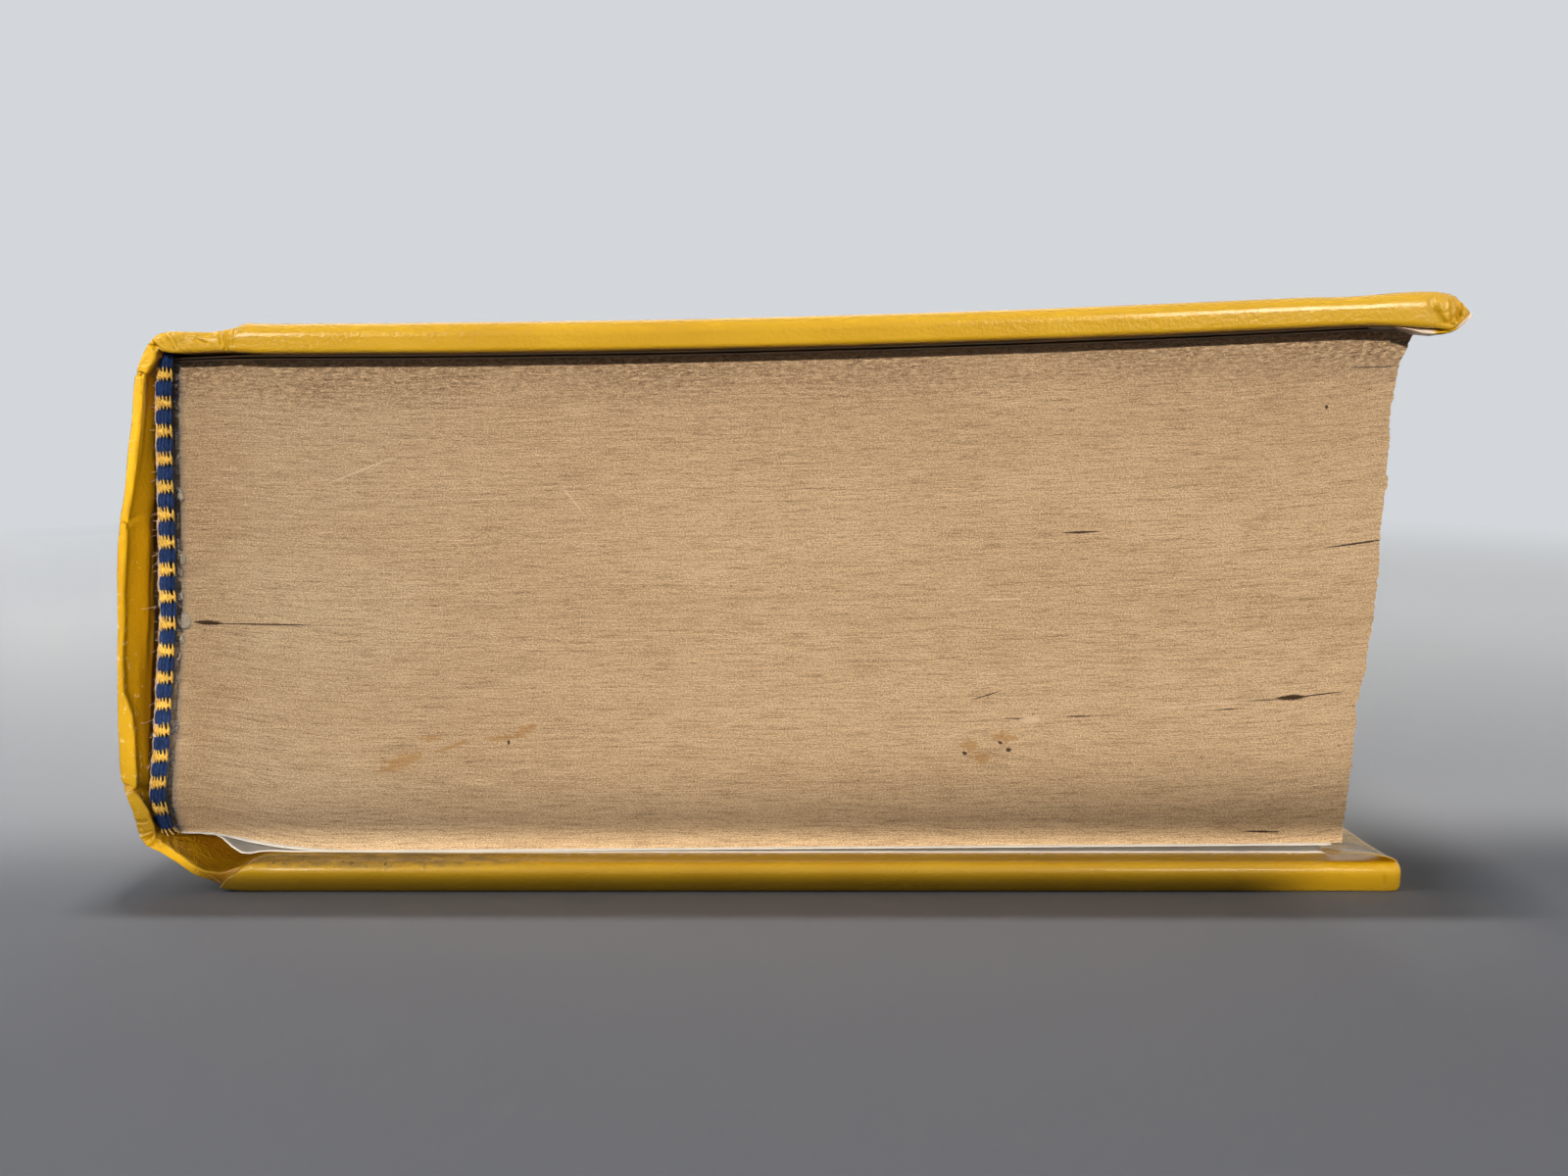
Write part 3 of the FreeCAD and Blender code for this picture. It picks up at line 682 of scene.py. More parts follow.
# Grooves pressed into the paper at the head: x, z, x, z, width, depth.
CORNER_GROOVES = [
    (69.3, 67.1, 70.9, 64.8, 0.28, 0.40), (70.9, 64.8, 71.9, 64.5, 0.22, 0.25),
    (71.6, 67.3, 71.7, 64.6, 0.20, 0.36), (72.3, 66.9, 72.55, 64.9, 0.20, 0.50),
    (72.95, 67.4, 72.9, 65.4, 0.22, 0.60), (70.4, 67.5, 71.0, 66.7, 0.20, 0.22),
    (73.45, 66.9, 73.3, 65.9, 0.18, 0.35), (71.9, 67.6, 72.4, 66.6, 0.18, 0.25),
    (70.0, 67.7, 70.2, 66.9, 0.16, 0.15),
]
JOINT_GROOVES = [
    (-69.25, 61.75, -70.35, 62.9, 0.32, 0.75), (-61.6, 64.3, -61.9, 61.6, 0.32, 0.34),
    (-62.6, 63.9, -62.3, 62.4, 0.24, 0.28), (-66.4, 63.4, -64.0, 62.5, 0.26, 0.20),
    (-68.4, 63.4, -67.6, 61.9, 0.24, 0.28), (-67.8, 63.5, -67.2, 62.0, 0.2, 0.20),
    (-64.9, 63.2, -63.2, 63.6, 0.2, 0.16), (-60.9, 64.4, -61.1, 62.4, 0.2, 0.16),
    (-72.2, 59.5, -70.85, 58.95, 0.30, 0.70), (-74.7, 42.9, -73.7, 42.7, 0.18, 0.35),
]
HEEL_GROOVES = [
    (-76.9, 12.9, -75.3, 12.2, 0.28, 0.55), (-75.9, 8.4, -74.4, 8.55, 0.22, 0.45),
    (-75.2, 6.9, -73.7, 7.3, 0.20, 0.28), (-75.3, 6.0, -73.4, 7.0, 0.24, 0.55),
    (-74.4, 5.2, -73.1, 6.2, 0.24, 0.45), (-75.0, 7.8, -74.3, 6.7, 0.16, 0.20),
    (-68.9, 2.6, -67.9, 1.3, 0.26, 0.30), (-67.9, 2.0, -66.9, 1.0, 0.22, 0.22),
    (67.85, 3.0, 67.75, 1.2, 0.16, 0.16), (68.7, 3.0, 68.6, 0.9, 0.16, 0.26),
]
# The fold where the joint's lip tucks behind the end of the back board's edge: x, z, x, z.
HEEL_FOLD = (-67.0, 0.25, -62.7, 3.8)


def groove_depth(x, z, grooves):
    """How deep the grooves are at a place on the head edge."""
    depth = 0.0
    for x0, z0, x1, z1, width, deep in grooves:
        if abs(x - (x0 + x1) / 2) > 4 or abs(z - (z0 + z1) / 2) > 4:
            continue
        dx, dz = x1 - x0, z1 - z0
        share = min(1.0, max(0.0, ((x - x0) * dx + (z - z0) * dz) / (dx * dx + dz * dz)))
        away = math.hypot(x - x0 - dx * share, z - z0 - dz * share)
        depth = max(depth, deep * max(0.0, 1 - away / (1.5 * width)) ** 1.5)
    return depth


# Long folds in the turn-in along the spine's wall: depth from the head, reach inwards.
WALL_FOLDS = [(0, 0), (0.3, 0), (1.35, -0.34), (1.6, -0.34), (3.9, 0.40), (4.3, 0.36), (6.3, -0.25),
              (10, 0), (200, 0)]


def at_head(p, depth=3.0):
    """1 on the head edge, fading over a depth."""
    return 1.0 - ease(p.y, -HALF_HEIGHT + 0.3, -HALF_HEIGHT + depth)


def wall_fold(p, normal):
    """How far the turn-in stands in from the spine's wall."""
    facing = ease(normal.x, 0.5, 0.9)
    depth = p.y + HALF_HEIGHT
    if facing == 0 or depth > 12 or not 12 < p.z < 61:
        return 0.0
    wander = 0.5 * patchy((0, 0, p.z), 13.0, 4.0) + 0.35 * bell(p.z, SPINE_SEAM, 1.2)
    broad = follow(WALL_FOLDS, max(0.0, depth + wander * ease(depth, 0.2, 1.0)))[0]
    broad *= mix(0.55, 1.0, ease(p.z, 23.0, 29.0)) * (1 - 0.6 * ease(p.z, 46.0, 52.0))
    fine = patchy((depth * 0.9, 0, p.z * 0.07), 1.0, 3.0) * 0.22 * ease(depth, 0.4, 1.4)
    crease = 0.30 * bell(p.z - 0.45 * depth, 42.4, 0.35) * bell(depth, 1.6, 2.0)
    return facing * (broad + fine - crease)


# The crushed corner of the front board, seen from the head: X, top Z, bottom Z.
CRUSHED = [
    (54.0, 67.38, 64.17), (57.0, 67.48, 64.31), (59.9, 67.57, 64.44), (63.0, 67.79, 64.52),
    (66.2, 68.08, 64.40), (68.7, 68.20, 64.26), (70.5, 68.19, 64.15), (71.5, 68.10, 63.98),
    (72.2, 67.90, 64.12), (72.8, 67.66, 64.50), (73.5, 67.05, 65.10), (74.0, 66.30, 65.50),
    (74.35, 65.85, 65.70)]


def crush(p):
    """Move a place on the front board towards the shape of its crushed corner."""
    head = at_head(p, 10.0)
    share = head * ease(p.x, 54.0, 62.0)
    if share == 0:
        return p
    bottom = FRONT_TOP + bow(p.x) - BOARD
    level = (p.z - bottom) / BOARD
    x = p.x - head * 2.30 * (max(0.0, p.x - 66.0) / (HALF_WIDTH - 66.0)) ** 1.3
    top_there, bottom_there = follow(CRUSHED, x)
    return Vector((x, p.y + 0.5 * head * ease(p.x, 72.0, 76.0),
                   mix(p.z, mix(bottom_there, top_there, level), share)))


def shape_upper(p, normal):
    """The front board's bumped corner, and the wrinkled lip of its joint and spine."""
    p = crush(p.copy())
    corner = at_head(p, 9.0) * ease(p.x, 69.0, 72.0)
    facing = ease(-normal.y, 0.1, 0.7)
    near = at_head(p, 2.4) * mix(0.15, 1.0, facing)
    if near > 0:
        grooves = CORNER_GROOVES if p.x > 0 else JOINT_GROOVES
        p -= normal * groove_depth(p.x, p.z, grooves) * near
    p.x += wall_fold(p, normal)
    lip = at_head(p, 5.0) * (1 - ease(p.x, -61.5, -59.0)) * ease(p.x, -71.0, -69.0)
    lip *= mix(0.2, 1.0, facing)
    wall = at_head(p, 9.0) * (1 - ease(p.x, -71.0, -69.0))
    crumple = corner * 0.12 * patchy((p.x, p.y * 0.7, p.z), 0.8, 4.0)
    crumple += corner * 0.05 * patchy((p.x, p.y * 0.7, p.z * 0.7), 0.5, 7.0)
    crumple += lip * 0.07 * patchy((p.x, p.y * 0.6, p.z), 1.4, 8.0)
    crumple += lip * 0.03 * patchy((p.x, p.y * 0.6, p.z), 0.5, 3.0)
    crumple += wall * 0.05 * patchy(p, 3.5, 8.0)
    crumple += 0.05 * patchy((p.x, p.y, 0.0), 26.0, 2.0) + 0.03 * at_head(p) * patchy(p, 6.0, 1.0)
    return p + normal * crumple * ease(p.z, SPINE_SEAM, 45.5)


def heel_tuck(p):
    """How far the joint's lip stands back behind the end of the back board's edge."""
    x0, z0, x1, z1 = HEEL_FOLD
    dx, dz = x1 - x0, z1 - z0
    beyond = (dx * (p.z - z0) - dz * (p.x - x0)) / math.hypot(dx, dz)
    beyond += 0.12 * math.sin(3.0 * (p.x - x0))
    return 0.95 * ease(beyond, -0.08, 0.16) * (1 - ease(beyond, 0.5, 3.4))


def shape_lower(p, normal):
    """The wrinkled foot of the spine, and the back board's edge."""
    p = p.copy()
    if p.x < -60:
        p.y += heel_tuck(p) * at_head(p, 4.0)
    p.x += 0.5 * at_head(p, 9.0) * ease(p.x, 65.5, 69.0)
    near = at_head(p, 2.4) * mix(0.15, 1.0, ease(-normal.y, 0.1, 0.7))
    if near > 0:
        p -= normal * groove_depth(p.x, p.z, HEEL_GROOVES) * near
    p.x += wall_fold(p, normal)
    lip = at_head(p, 6.0) * (1 - ease(p.x, -63.5, -61.0))
    low = 1 - ease(p.z, 8.0, 12.0)
    crumple = lip * mix(0.04, 0.08, low) * patchy((p.x, p.y * 0.6, p.z), 1.5, 6.0)
    crumple += lip * low * bell(p.z, 6.3, 1.3) * 0.16 * patchy((p.x, p.y * 0.6, p.z), 0.5, 2.0)
    crumple += 0.05 * patchy((p.x, p.y, 0.0), 24.0, 5.0) + 0.03 * near * patchy(p, 5.0, 3.0)
    return p + normal * crumple * ease(p.z, 0.0, 0.6) * (1 - ease(p.z, 40.0, SPINE_SEAM))


def creased(p):
    """Where the cover's paper is finely wrinkled."""
    head = at_head(p, 12.0)
    corner = head * ease(p.x, 66.0, 71.0) * ease(p.z, 40.0, 50.0)
    reach = -60.5 if p.z > 30 else -65.5
    spine = (0.25 + 0.75 * head) * (1 - ease(p.x, reach - 3.0, reach))
    return min(1.0, corner + spine)


def middle_of(table, key, other):
    """A table of the way halfway through the case, from the two columns of a turn."""
    return [((row[key] + row[key + 2]) / 2, (row[other] + row[other + 2]) / 2) for row in table]


JOINT_MIDDLE = middle_of([r for r in LOWER_TURN if r[1] < 5.5], 0, 1)
WALL_MIDDLE = middle_of([r for r in LOWER_TURN[::-1] if r[1] > 5] + UPPER_TURN[:9:-1], 1, 0)


def inside(p):
    """1 on the inner face of the spine's wall and of the lower joint."""
    if p.x > -62.5 or p.z > 62:
        return 0.0
    wall = ease(p.x - follow(WALL_MIDDLE, p.z)[0], 0.0, 0.25) if p.z > 5 else 0.0
    joint = ease(p.z - follow(JOINT_MIDDLE, p.x)[0], 0.0, 0.25) if p.z < 8 else 0.0
    return max(wall, joint)


def browned_and_shaded(p):
    """Where the inner face turns brown, and darker still as painted shade deeper in the hollow,
    under the flap near the top and behind the tuck at the heel, from the head inwards.
    """
    tuck = heel_tuck(p) if p.x > -69 and p.z < 4.5 else 0.0
    depth = p.y + HALF_HEIGHT - tuck
    if depth > 60:
        return 0.0
    # The deeper reaches, the flap's underside near the top and the tuck at the heel are darkened
    # here as painted shade.
    tone = 0.16 * ease(depth, 0.3, 1.2) + 0.22 * ease(depth, 3.0, 6.0)
    tone += 0.46 * ease(depth, 0.35, 0.9) * ease(p.z, 54.0, 58.5)
    tone += 0.10 * ease(depth, 0.3, 1.2) * (1 - ease(p.z, 6.0, 12.0))
    end_piece = 0.30 * ease(tuck, 0.35, 0.9)
    return min(1.0, max(tone * inside(p), end_piece))


def soiled(p):
    """Where the cover's paper is dirty: the head of the back board, and the inside of its joint."""
    if p.z > 12 or p.y > 0:
        return 0.0
    depth = p.y + HALF_HEIGHT
    near = 1 - ease(depth, 3.0, 9.0)
    left = 1 - ease(p.x, -42.0, -18.0)
    top = ease(p.z, mix(3.05, 2.55, left), mix(3.3, 3.1, left)) * ease(p.x, -63.5, -62.0)
    band = near * top * mix(0.2 * ease(depth, 2.4, 3.0), 0.7, left)
    fore_edge = 0.4 * ease(p.x, 62.5, 65.5) * ease(p.z, 3.1, 3.3) * ease(depth, 2.0, 4.0)
    joint = 0.1 * near * (1 - ease(p.x, -64.5, -63.0)) * ease(p.x, -74.0, -71.0) * inside(p)
    spots = max(bell(x, 0.0, 1.0) for x in [math.hypot(p.x - a, (p.z - b) * 2.2) / size
                                            for a, b, size in SCUFFS])
    return min(1.0, max(band, fore_edge, joint, spots))


# Small grazes on the head edge of the back board: x, z, size.
SCUFFS = [(-26.4, 2.35, 0.75), (30.6, 1.4, 0.4), (39.9, 1.9, 0.35)]


def worn(p):
    """Where the laminate is rubbed: edges and corners."""
    corner = ease(abs(p.x), 72.5, 76.0) * (1 - ease(HALF_HEIGHT - abs(p.y), 1.0, 6.0))
    return 0.6 * corner


def make_case(finish, board):
    """The case paper, a front and a back half that meet on the spine, and the boards in it."""
    masks = {mask.__name__: mask for mask in (creased, soiled, worn, browned_and_shaded)}

    def top(x):
        return FRONT_TOP + bow(x)

    fine = steps_along((7.0, 0.13), (13.0, 0.3), (22.0, 0.8), (134.0, 3.0), (137.0, 1.2))
    ribs = board_ribs(HALF_WIDTH, top, lambda x: top(x) - BOARD, fine, FRONT_ROUNDING)
    ribs += turn_ribs(UPPER_TURN, lambda p: 0.16 if p.y > 57 else 0.3, FRONT_ROUNDING)
    front = wrap("front_case", ribs, finish, shape_upper, masks)
    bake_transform(front)
    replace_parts(front, "front_cover_paper")
    core = wrap("front_board_core", sunk([r for r in ribs if r.outer.x > FRONT_EDGE + 0.6],
                                         0.3, 1.0, (1.1, 0.4)), board, lambda p, normal: crush(p))
    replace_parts(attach(core, "front_cover"), "front_board")
    strip = sunk([r for r in ribs if -74.8 < r.outer.x < -72.2], *INLAY_SUNK)

    fine = steps_along((6.0, 0.3), (14.0, 1.0), (129.0, 3.0), (131.6, 0.8))
    ribs = board_ribs(BACK_FORE_EDGE, lambda x: 0.0, lambda x: BOARD, fine, BACK_ROUNDING)
    ribs += turn_ribs(LOWER_TURN[::-1], lambda p: 0.13 if p.y < 13 else 0.3, BACK_ROUNDING)
    back = wrap("back_case", ribs, finish, shape_lower, masks)
    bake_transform(back)
    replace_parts(back, "back_cover_paper", "spine_cover_paper")
    core = wrap("back_board_core", sunk([r for r in ribs if r.outer.x > -60.5],
                                        0.3, 1.0, (0.4, 0.9)), board)
    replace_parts(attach(core, "back_cover"), "back_board")
    strip += sunk([r for r in ribs if r.outer.x < -74.9 and r.outer.y > 13.6], *INLAY_SUNK)[::-1]
    inlay = wrap("spine_inlay_strip", strip, board)
    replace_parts(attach(inlay, "text_block"), "spine_inlay")


def paper_roll(name, path, reach, finish, paint=(), back=(0, 0)):
    """Loose turned-in paper at the head: rows of (x, z, height) swept into a flattened roll."""
    line = smooth_path([(x, z, h) for x, z, h in path], 0.22)
    around = 16

    def place(i, j):
        x, z, height = line[i]
        turn = 2 * math.pi * (j % around) / around
        pinch = 0.02 if i in (0, len(line) - 1) else 1.0
        wrinkle = 1 + 0.30 * patchy((x, math.cos(turn), math.sin(turn)), 0.55, 3.0)
        y = reach / 2 * (1 - math.cos(turn) * pinch)
        lift = back[1] * y / reach
        return (x + back[0] * y / reach, -HALF_HEIGHT + 0.35 + y,
                z + lift + 0.5 * height * math.sin(turn) * wrinkle * pinch)

    return piece(name, close_seams(bend_grid(len(line) - 1, around, place)), finish, 50.0, paint)


def make_loose_paper(finish):
    """The torn turn-in under the front board's bumped corner, and the lifted one on the back."""
    rolls = [
        (paper_roll("torn_corner_paper", [
            (66.6, 64.15, 0.20), (67.7, 63.98, 0.45), (68.6, 63.72, 0.85), (69.6, 63.62, 0.95),
            (70.6, 63.60, 0.80), (71.6, 63.72, 0.70), (72.3, 63.95, 0.65), (73.0, 64.38, 0.60),
            (73.6, 64.92, 0.60), (74.05, 65.45, 0.35), (74.2, 65.75, 0.12)], 4.0, finish,
            {"torn": lambda p: max(1 - ease(p.x, 69.8, 70.5), ease(p.x, 72.5, 72.9)),
             "creased": lambda p: 1.0}, (-0.6, 0.9)), "front_cover"),
        (paper_roll("lifted_corner_paper", [
            (62.4, 4.36, 0.04), (63.4, 4.52, 0.10), (64.8, 4.56, 0.20), (67.2, 4.42, 0.30),
            (69.0, 4.10, 0.30), (69.9, 3.78, 0.30), (70.35, 3.35, 0.22)], 3.0, finish,
            {"creased": lambda p: 0.4}, (-0.3, -0.4)), "back_cover"),
    ]
    for made, body in rolls:
        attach(made, body)


# ---- the pages

SPINE_EDGE = [(6.22, -72.64), (10.92, -73.54), (32.4, -71.0), (60.57, -69.6)]
FORE_EDGE = [
    (4.8, 64.85), (8.9, 65.0), (10.7, 65.12), (12.5, 65.36), (14.2, 65.55), (17.8, 65.5),
    (19.5, 65.7), (21.3, 65.62), (23.0, 65.75), (24.8, 66.2), (26.5, 66.5), (31.7, 66.87),
    (33.4, 66.9), (36.8, 67.3), (40.2, 67.12), (41.9, 67.1), (43.6, 67.32), (50.3, 67.44),
    (53.6, 67.32), (56.9, 67.44), (58.5, 67.66), (60.1, 67.98), (61.75, 68.64), (62.8, 69.0),
    (63.7, 69.4)]
UNDER = [(-72.64, 6.22), (-67.6, 6.12), (-64.0, 5.25), (-60.0, 4.55), (-56.0, 4.12), (-52.0, 3.93),
         (65.8, 4.82)]


PAGE_LEVELS = 190
BLOCK = 57.0
# How far in from the fore-edge the leaf lines start to rise.
FAN = 25.0


def page_top(x):
    """Z of the top leaf at X."""
    return 60.57 + 0.3 * ease(x, -69.6, -63.0) + bow(max(x, FRONT_EDGE))


def make_pages(finish):
    """The block of leaves: level on level from the back, each with its own reach."""
    chance = random.Random(7)
    reach, step = [], 0.5
    for level in range(PAGE_LEVELS + 1):
        if chance.random() < 0.16:
            step = chance.uniform(0.0, 1.0)
        reach.append(0.62 * step + 0.38 * chance.random())
    across = [k / 8 * 0.03 for k in range(8)] + [0.03 + 0.95 * k / 44 for k in range(44)]
    across += [0.98 + 0.02 * k / 6 for k in range(6)]
    down = [0, .01, .02, .035, .05, .07, .09] + [.12 + .88 * k / 34 for k in range(34)]
    rows = [("spine", 1 - k / 4) for k in range(4)] + [("head", u) for u in across]
    rows += [("fore-edge", v) for v in down] + [("tail", 1 - k / 30) for k in range(30)]

    def place(i, j):
        side, share = rows[j % len(rows)]
        v = min(1.0, max(0.0, (i - 1) / (PAGE_LEVELS - 2)))
        left = follow(SPINE_EDGE, mix(SPINE_EDGE[0][0], SPINE_EDGE[-1][0], v))[0]
        right = follow(FORE_EDGE, mix(FORE_EDGE[0][0], FORE_EDGE[-1][0], v))[0]
        u = {"spine": 0.0, "fore-edge": 1.0}.get(side, share)
        y = {"head": -PAGE_END, "tail": PAGE_END}.get(side, mix(-PAGE_END, PAGE_END, share))
        right -= 0.42 * (reach[i] - 0.5) + 0.10 * patchy((y, v * 90, 0), 5.0, 3.0)
        low = follow(UNDER, mix(UNDER[0][0], UNDER[-1][0], u))[0]
        p = Vector((mix(left, right, u), y, mix(low, page_top(mix(-69.6, 68.8, u)), v)))
        fray = 0.05 * patchy((p.x * 0.3, p.z * 3.0, 0.0), 1.0, 9.0)
        if i in (0, PAGE_LEVELS):
            p.y = 0.0
        elif side == "head":
            p.y += fray + 0.05 * (1 - ease(p.z, 58.0, 62.0))
        elif side == "tail":
            p.y -= fray
        return p

    # The leaf lines run on round the block: where each side starts, and how long it is.
    sides = {"spine": (0, 216), "head": (216, 140), "fore-edge": (356, 216), "tail": (572, 140)}

    def uv(i, j):
        v = BLOCK * i / PAGE_LEVELS
        if j == len(rows):
            return (sum(sides["tail"]), v)
        side, share = rows[j]
        start, length = sides[side]
        along = length * (1 - share if side in ("spine", "tail") else share)
        rise = {"head": along - (length - FAN), "fore-edge": FAN, "tail": FAN - along}
        return (start + along, v - 0.9 * (max(0.0, rise.get(side, 0.0)) / FAN) ** 2)

    def head(p):
        return 1.0 if p.y < -PAGE_END + 0.6 else 0.0

    def glued(p):
        edge = follow(BAND_LEFT, p.z)[0] + 1.9 + 0.35 * patchy((0, 0, p.z), 2.2, 5.0)
        return head(p) * (1 - ease(p.x - edge, 0.15, 0.75))

    # Where the top of the block is rough-cut; the same mask also paints shade, darker towards the
    # top.
    def rough_cut_and_shade(p):
        below = page_top(p.x) - p.z
        share = 0.30 * (1 - ease(below, 5.0, 22.0)) + 0.60 * (1 - ease(below, 1.5, 6.0))
        return max(0.0, share * (1.0 + 0.6 * patchy((p.x, 0.0, p.z * 1.5), 12.0, 6.0)))

    made = piece("page_block", close_seams(bend_grid(PAGE_LEVELS, len(rows), place, uv)), finish,
                 50.0, {mask.__name__: mask for mask in (head, glued, rough_cut_and_shade)})
    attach(made, "text_block")
    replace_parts(made, "text_block")


# ---- endpapers

# Where a leaf is divided, from the head of the pages to their tail.
LEAF_ROWS = [0, 1, 2.5, 5, 9, 15, 25, 40, 60, 85, 112, 140, 165, 185, 200, 210, 2 * PAGE_END]


def paper_sheet(name, path, finish, reach=0.2, inset=0.0, margin=0.0):
    """A leaf along a path seen from the head, a margin in from the head and tail of the pages."""
    line = smooth_path([(x, 0.0, z) for x, z in path], 1.6)

    def place(i, j):
        p = line[i]
        y = margin - PAGE_END + max(inset, LEAF_ROWS[j]) * (1 - margin / PAGE_END)
        return (p.x, y - reach * (1 if j == 0 else 0), p.z)

    return walled(piece(name, bend_grid(len(line) - 1, len(LEAF_ROWS) - 1, place), finish),
                  LEAF_THICKNESS)


def make_pasted(side, path, finish, gauze, away, start, end, *shape):
    """The pasted half of an endpaper and the flap of mull beneath it."""
    leaf = paper_sheet(side + "_pasted_leaf", path, finish, *shape)
    flap = paper_sheet(side + "_mull_flap", [(x, z + away) for x, z in path if x <= -40.0], gauze,
                       0.0, 0.0, MULL_MARGIN)
    for made, node, slot in ((leaf, "_pastedown", "endpaper"), (flap, "_mull", "mull")):
        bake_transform(made)
        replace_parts(made, side + node)


def make_endpapers(finish, shaded_tan, gauze):
    """Endpapers, white at the back and tan at the front, the tan being painted shade under the
    front board: a free leaf each, and its other half pasted in the cover.
    """
    top = FRONT_TOP - BOARD
    flyleaf = paper_sheet("front_free_leaf", [(-69.5, 60.70)] + [
        (x, page_top(x) + 0.12) for x in (-66.0, -60.0, -40.0, -10.0, 20.0, 45.0, 68.0)], shaded_tan)
    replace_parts(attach(flyleaf, "text_block"), "front_flyleaf")
    make_pasted("front", [(-69.2, 61.05), (-66.5, 61.15), (-63.0, 61.30)] + [
        (x, top + bow(x) - 0.10) for x in (-60.0, -40.0, -10.0, 20.0, 45.0, 60.0, 70.2)],
        shaded_tan, gauze, 0.16, (-0.0690, 0, 0.0610), (-0.0665, 0, 0.0611))
    flyleaf_back = paper_sheet("back_free_leaf", [
        (-72.0, 6.14), (-69.8, 6.10), (-68.2, 6.02), (-66.6, 5.72), (-63.9, 5.02), (-60.9, 4.45),
        (-56.7, 3.98), (-52.0, 3.82), (-37.3, 3.90), (-12.6, 4.10), (20.0, 4.34), (45.0, 4.54),
        (63.6, 4.68)], finish)
    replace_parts(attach(flyleaf_back, "text_block"), "back_flyleaf")
    make_pasted("back", [
        (-71.0, 6.04), (-70.3, 5.82), (-69.3, 5.64), (-68.4, 5.60), (-67.6, 5.2), (-66.5, 4.1),
        (-65.4, 3.35), (-64.4, 3.28), (-63.2, 3.52), (-62.0, 3.60), (-60.0, 3.50), (-40.0, 3.42),
        (-10.0, 3.42), (30.0, 3.42), (63.4, 3.42)],
        finish, gauze, -0.16, (-0.0700, 0, 0.0058), (-0.0645, 0, 0.0032), 0.0, 0.7)


# ---- headbands

# The left edge of the headband: z, x.
BAND_LEFT = [
    (6.4, -73.75), (8.35, -74.4), (11.1, -74.68), (13.9, -74.28), (17.3, -73.81), (24.0, -73.01),
    (29.9, -72.28), (32.8, -71.93), (35.8, -71.88), (39.8, -71.63), (45.4, -71.37), (50.0, -71.17),
    (54.6, -70.94), (57.7, -70.74), (61.6, -70.35)]
BAND_WIDTH = 1.8
BAND_RISE = 1.65
# The stitches at the head end start at this Z, and their blocks repeat at this period.
BAND_FIRST = 61.69
BAND_PERIOD = 3.11
GOLD_BAR = 2.46
CORD_STEPS = 110
TAPE_STEPS = 200
HALO_FIBRES = 260
STRAY_FIBRES = 46


def band_front(offset, end):
    """Y of the bead's face at an offset from its middle."""
    share = min(1.0, abs(offset) / (0.56 * BAND_WIDTH))
    return end * (PAGE_END + 0.85 + (BAND_RISE - 0.85) * math.sqrt(1 - share ** 2))


def set_down(corners, spot, turn, reshape):
    """Reshape and turn the corners of a small shape, and set it down at a spot."""
    for v in corners:
        v.co = (Matrix.Translation(spot) @ turn @ reshape @ v.co) * MM


def float_of_thread(bm, spot, turn, width, thickness, length, tip):
    """One stitch lying on the bead: a long grain that narrows towards its ends."""
    made = bmesh.ops.create_uvsphere(bm, u_segments=8, v_segments=8, radius=1.0)["verts"]
    for v in made:
        taper = 1 - (1 - tip) * v.co.z ** 2
        v.co.x *= taper
        v.co.y *= taper
    set_down(made, spot, turn, Matrix.Diagonal((width / 2, thickness / 2, length / 2, 1.0)))


def spike_of_thread(bm, spot, turn, width, length):
    """The pointed end of a stitch where it dives between two others, its root at the spot."""
    made = bmesh.ops.create_cone(bm, cap_ends=True, segments=7, radius1=width / 2, radius2=0.02,
                                 depth=length)["verts"]
    flat = Matrix.Diagonal((1.0, 0.7, 1.0, 1.0))
    set_down(made, spot, turn, flat @ Matrix.Translation((0, 0, length / 2)))


def fibre(start, reach, bend=(0, 0, 0), middle=0.5):
    """Three points of a loose fibre, bent to the side at its middle."""
    return (start, start + reach * middle + Vector(bend), start + reach)


def leaning(z, turn=0.0):
    """A turn in the plane of the head from the headband's own direction at Z."""
    lean = math.atan2(follow(BAND_LEFT, z + 0.5)[0] - follow(BAND_LEFT, z)[0], 0.5)
    return Matrix.Rotation(lean + turn, 4, "Y")


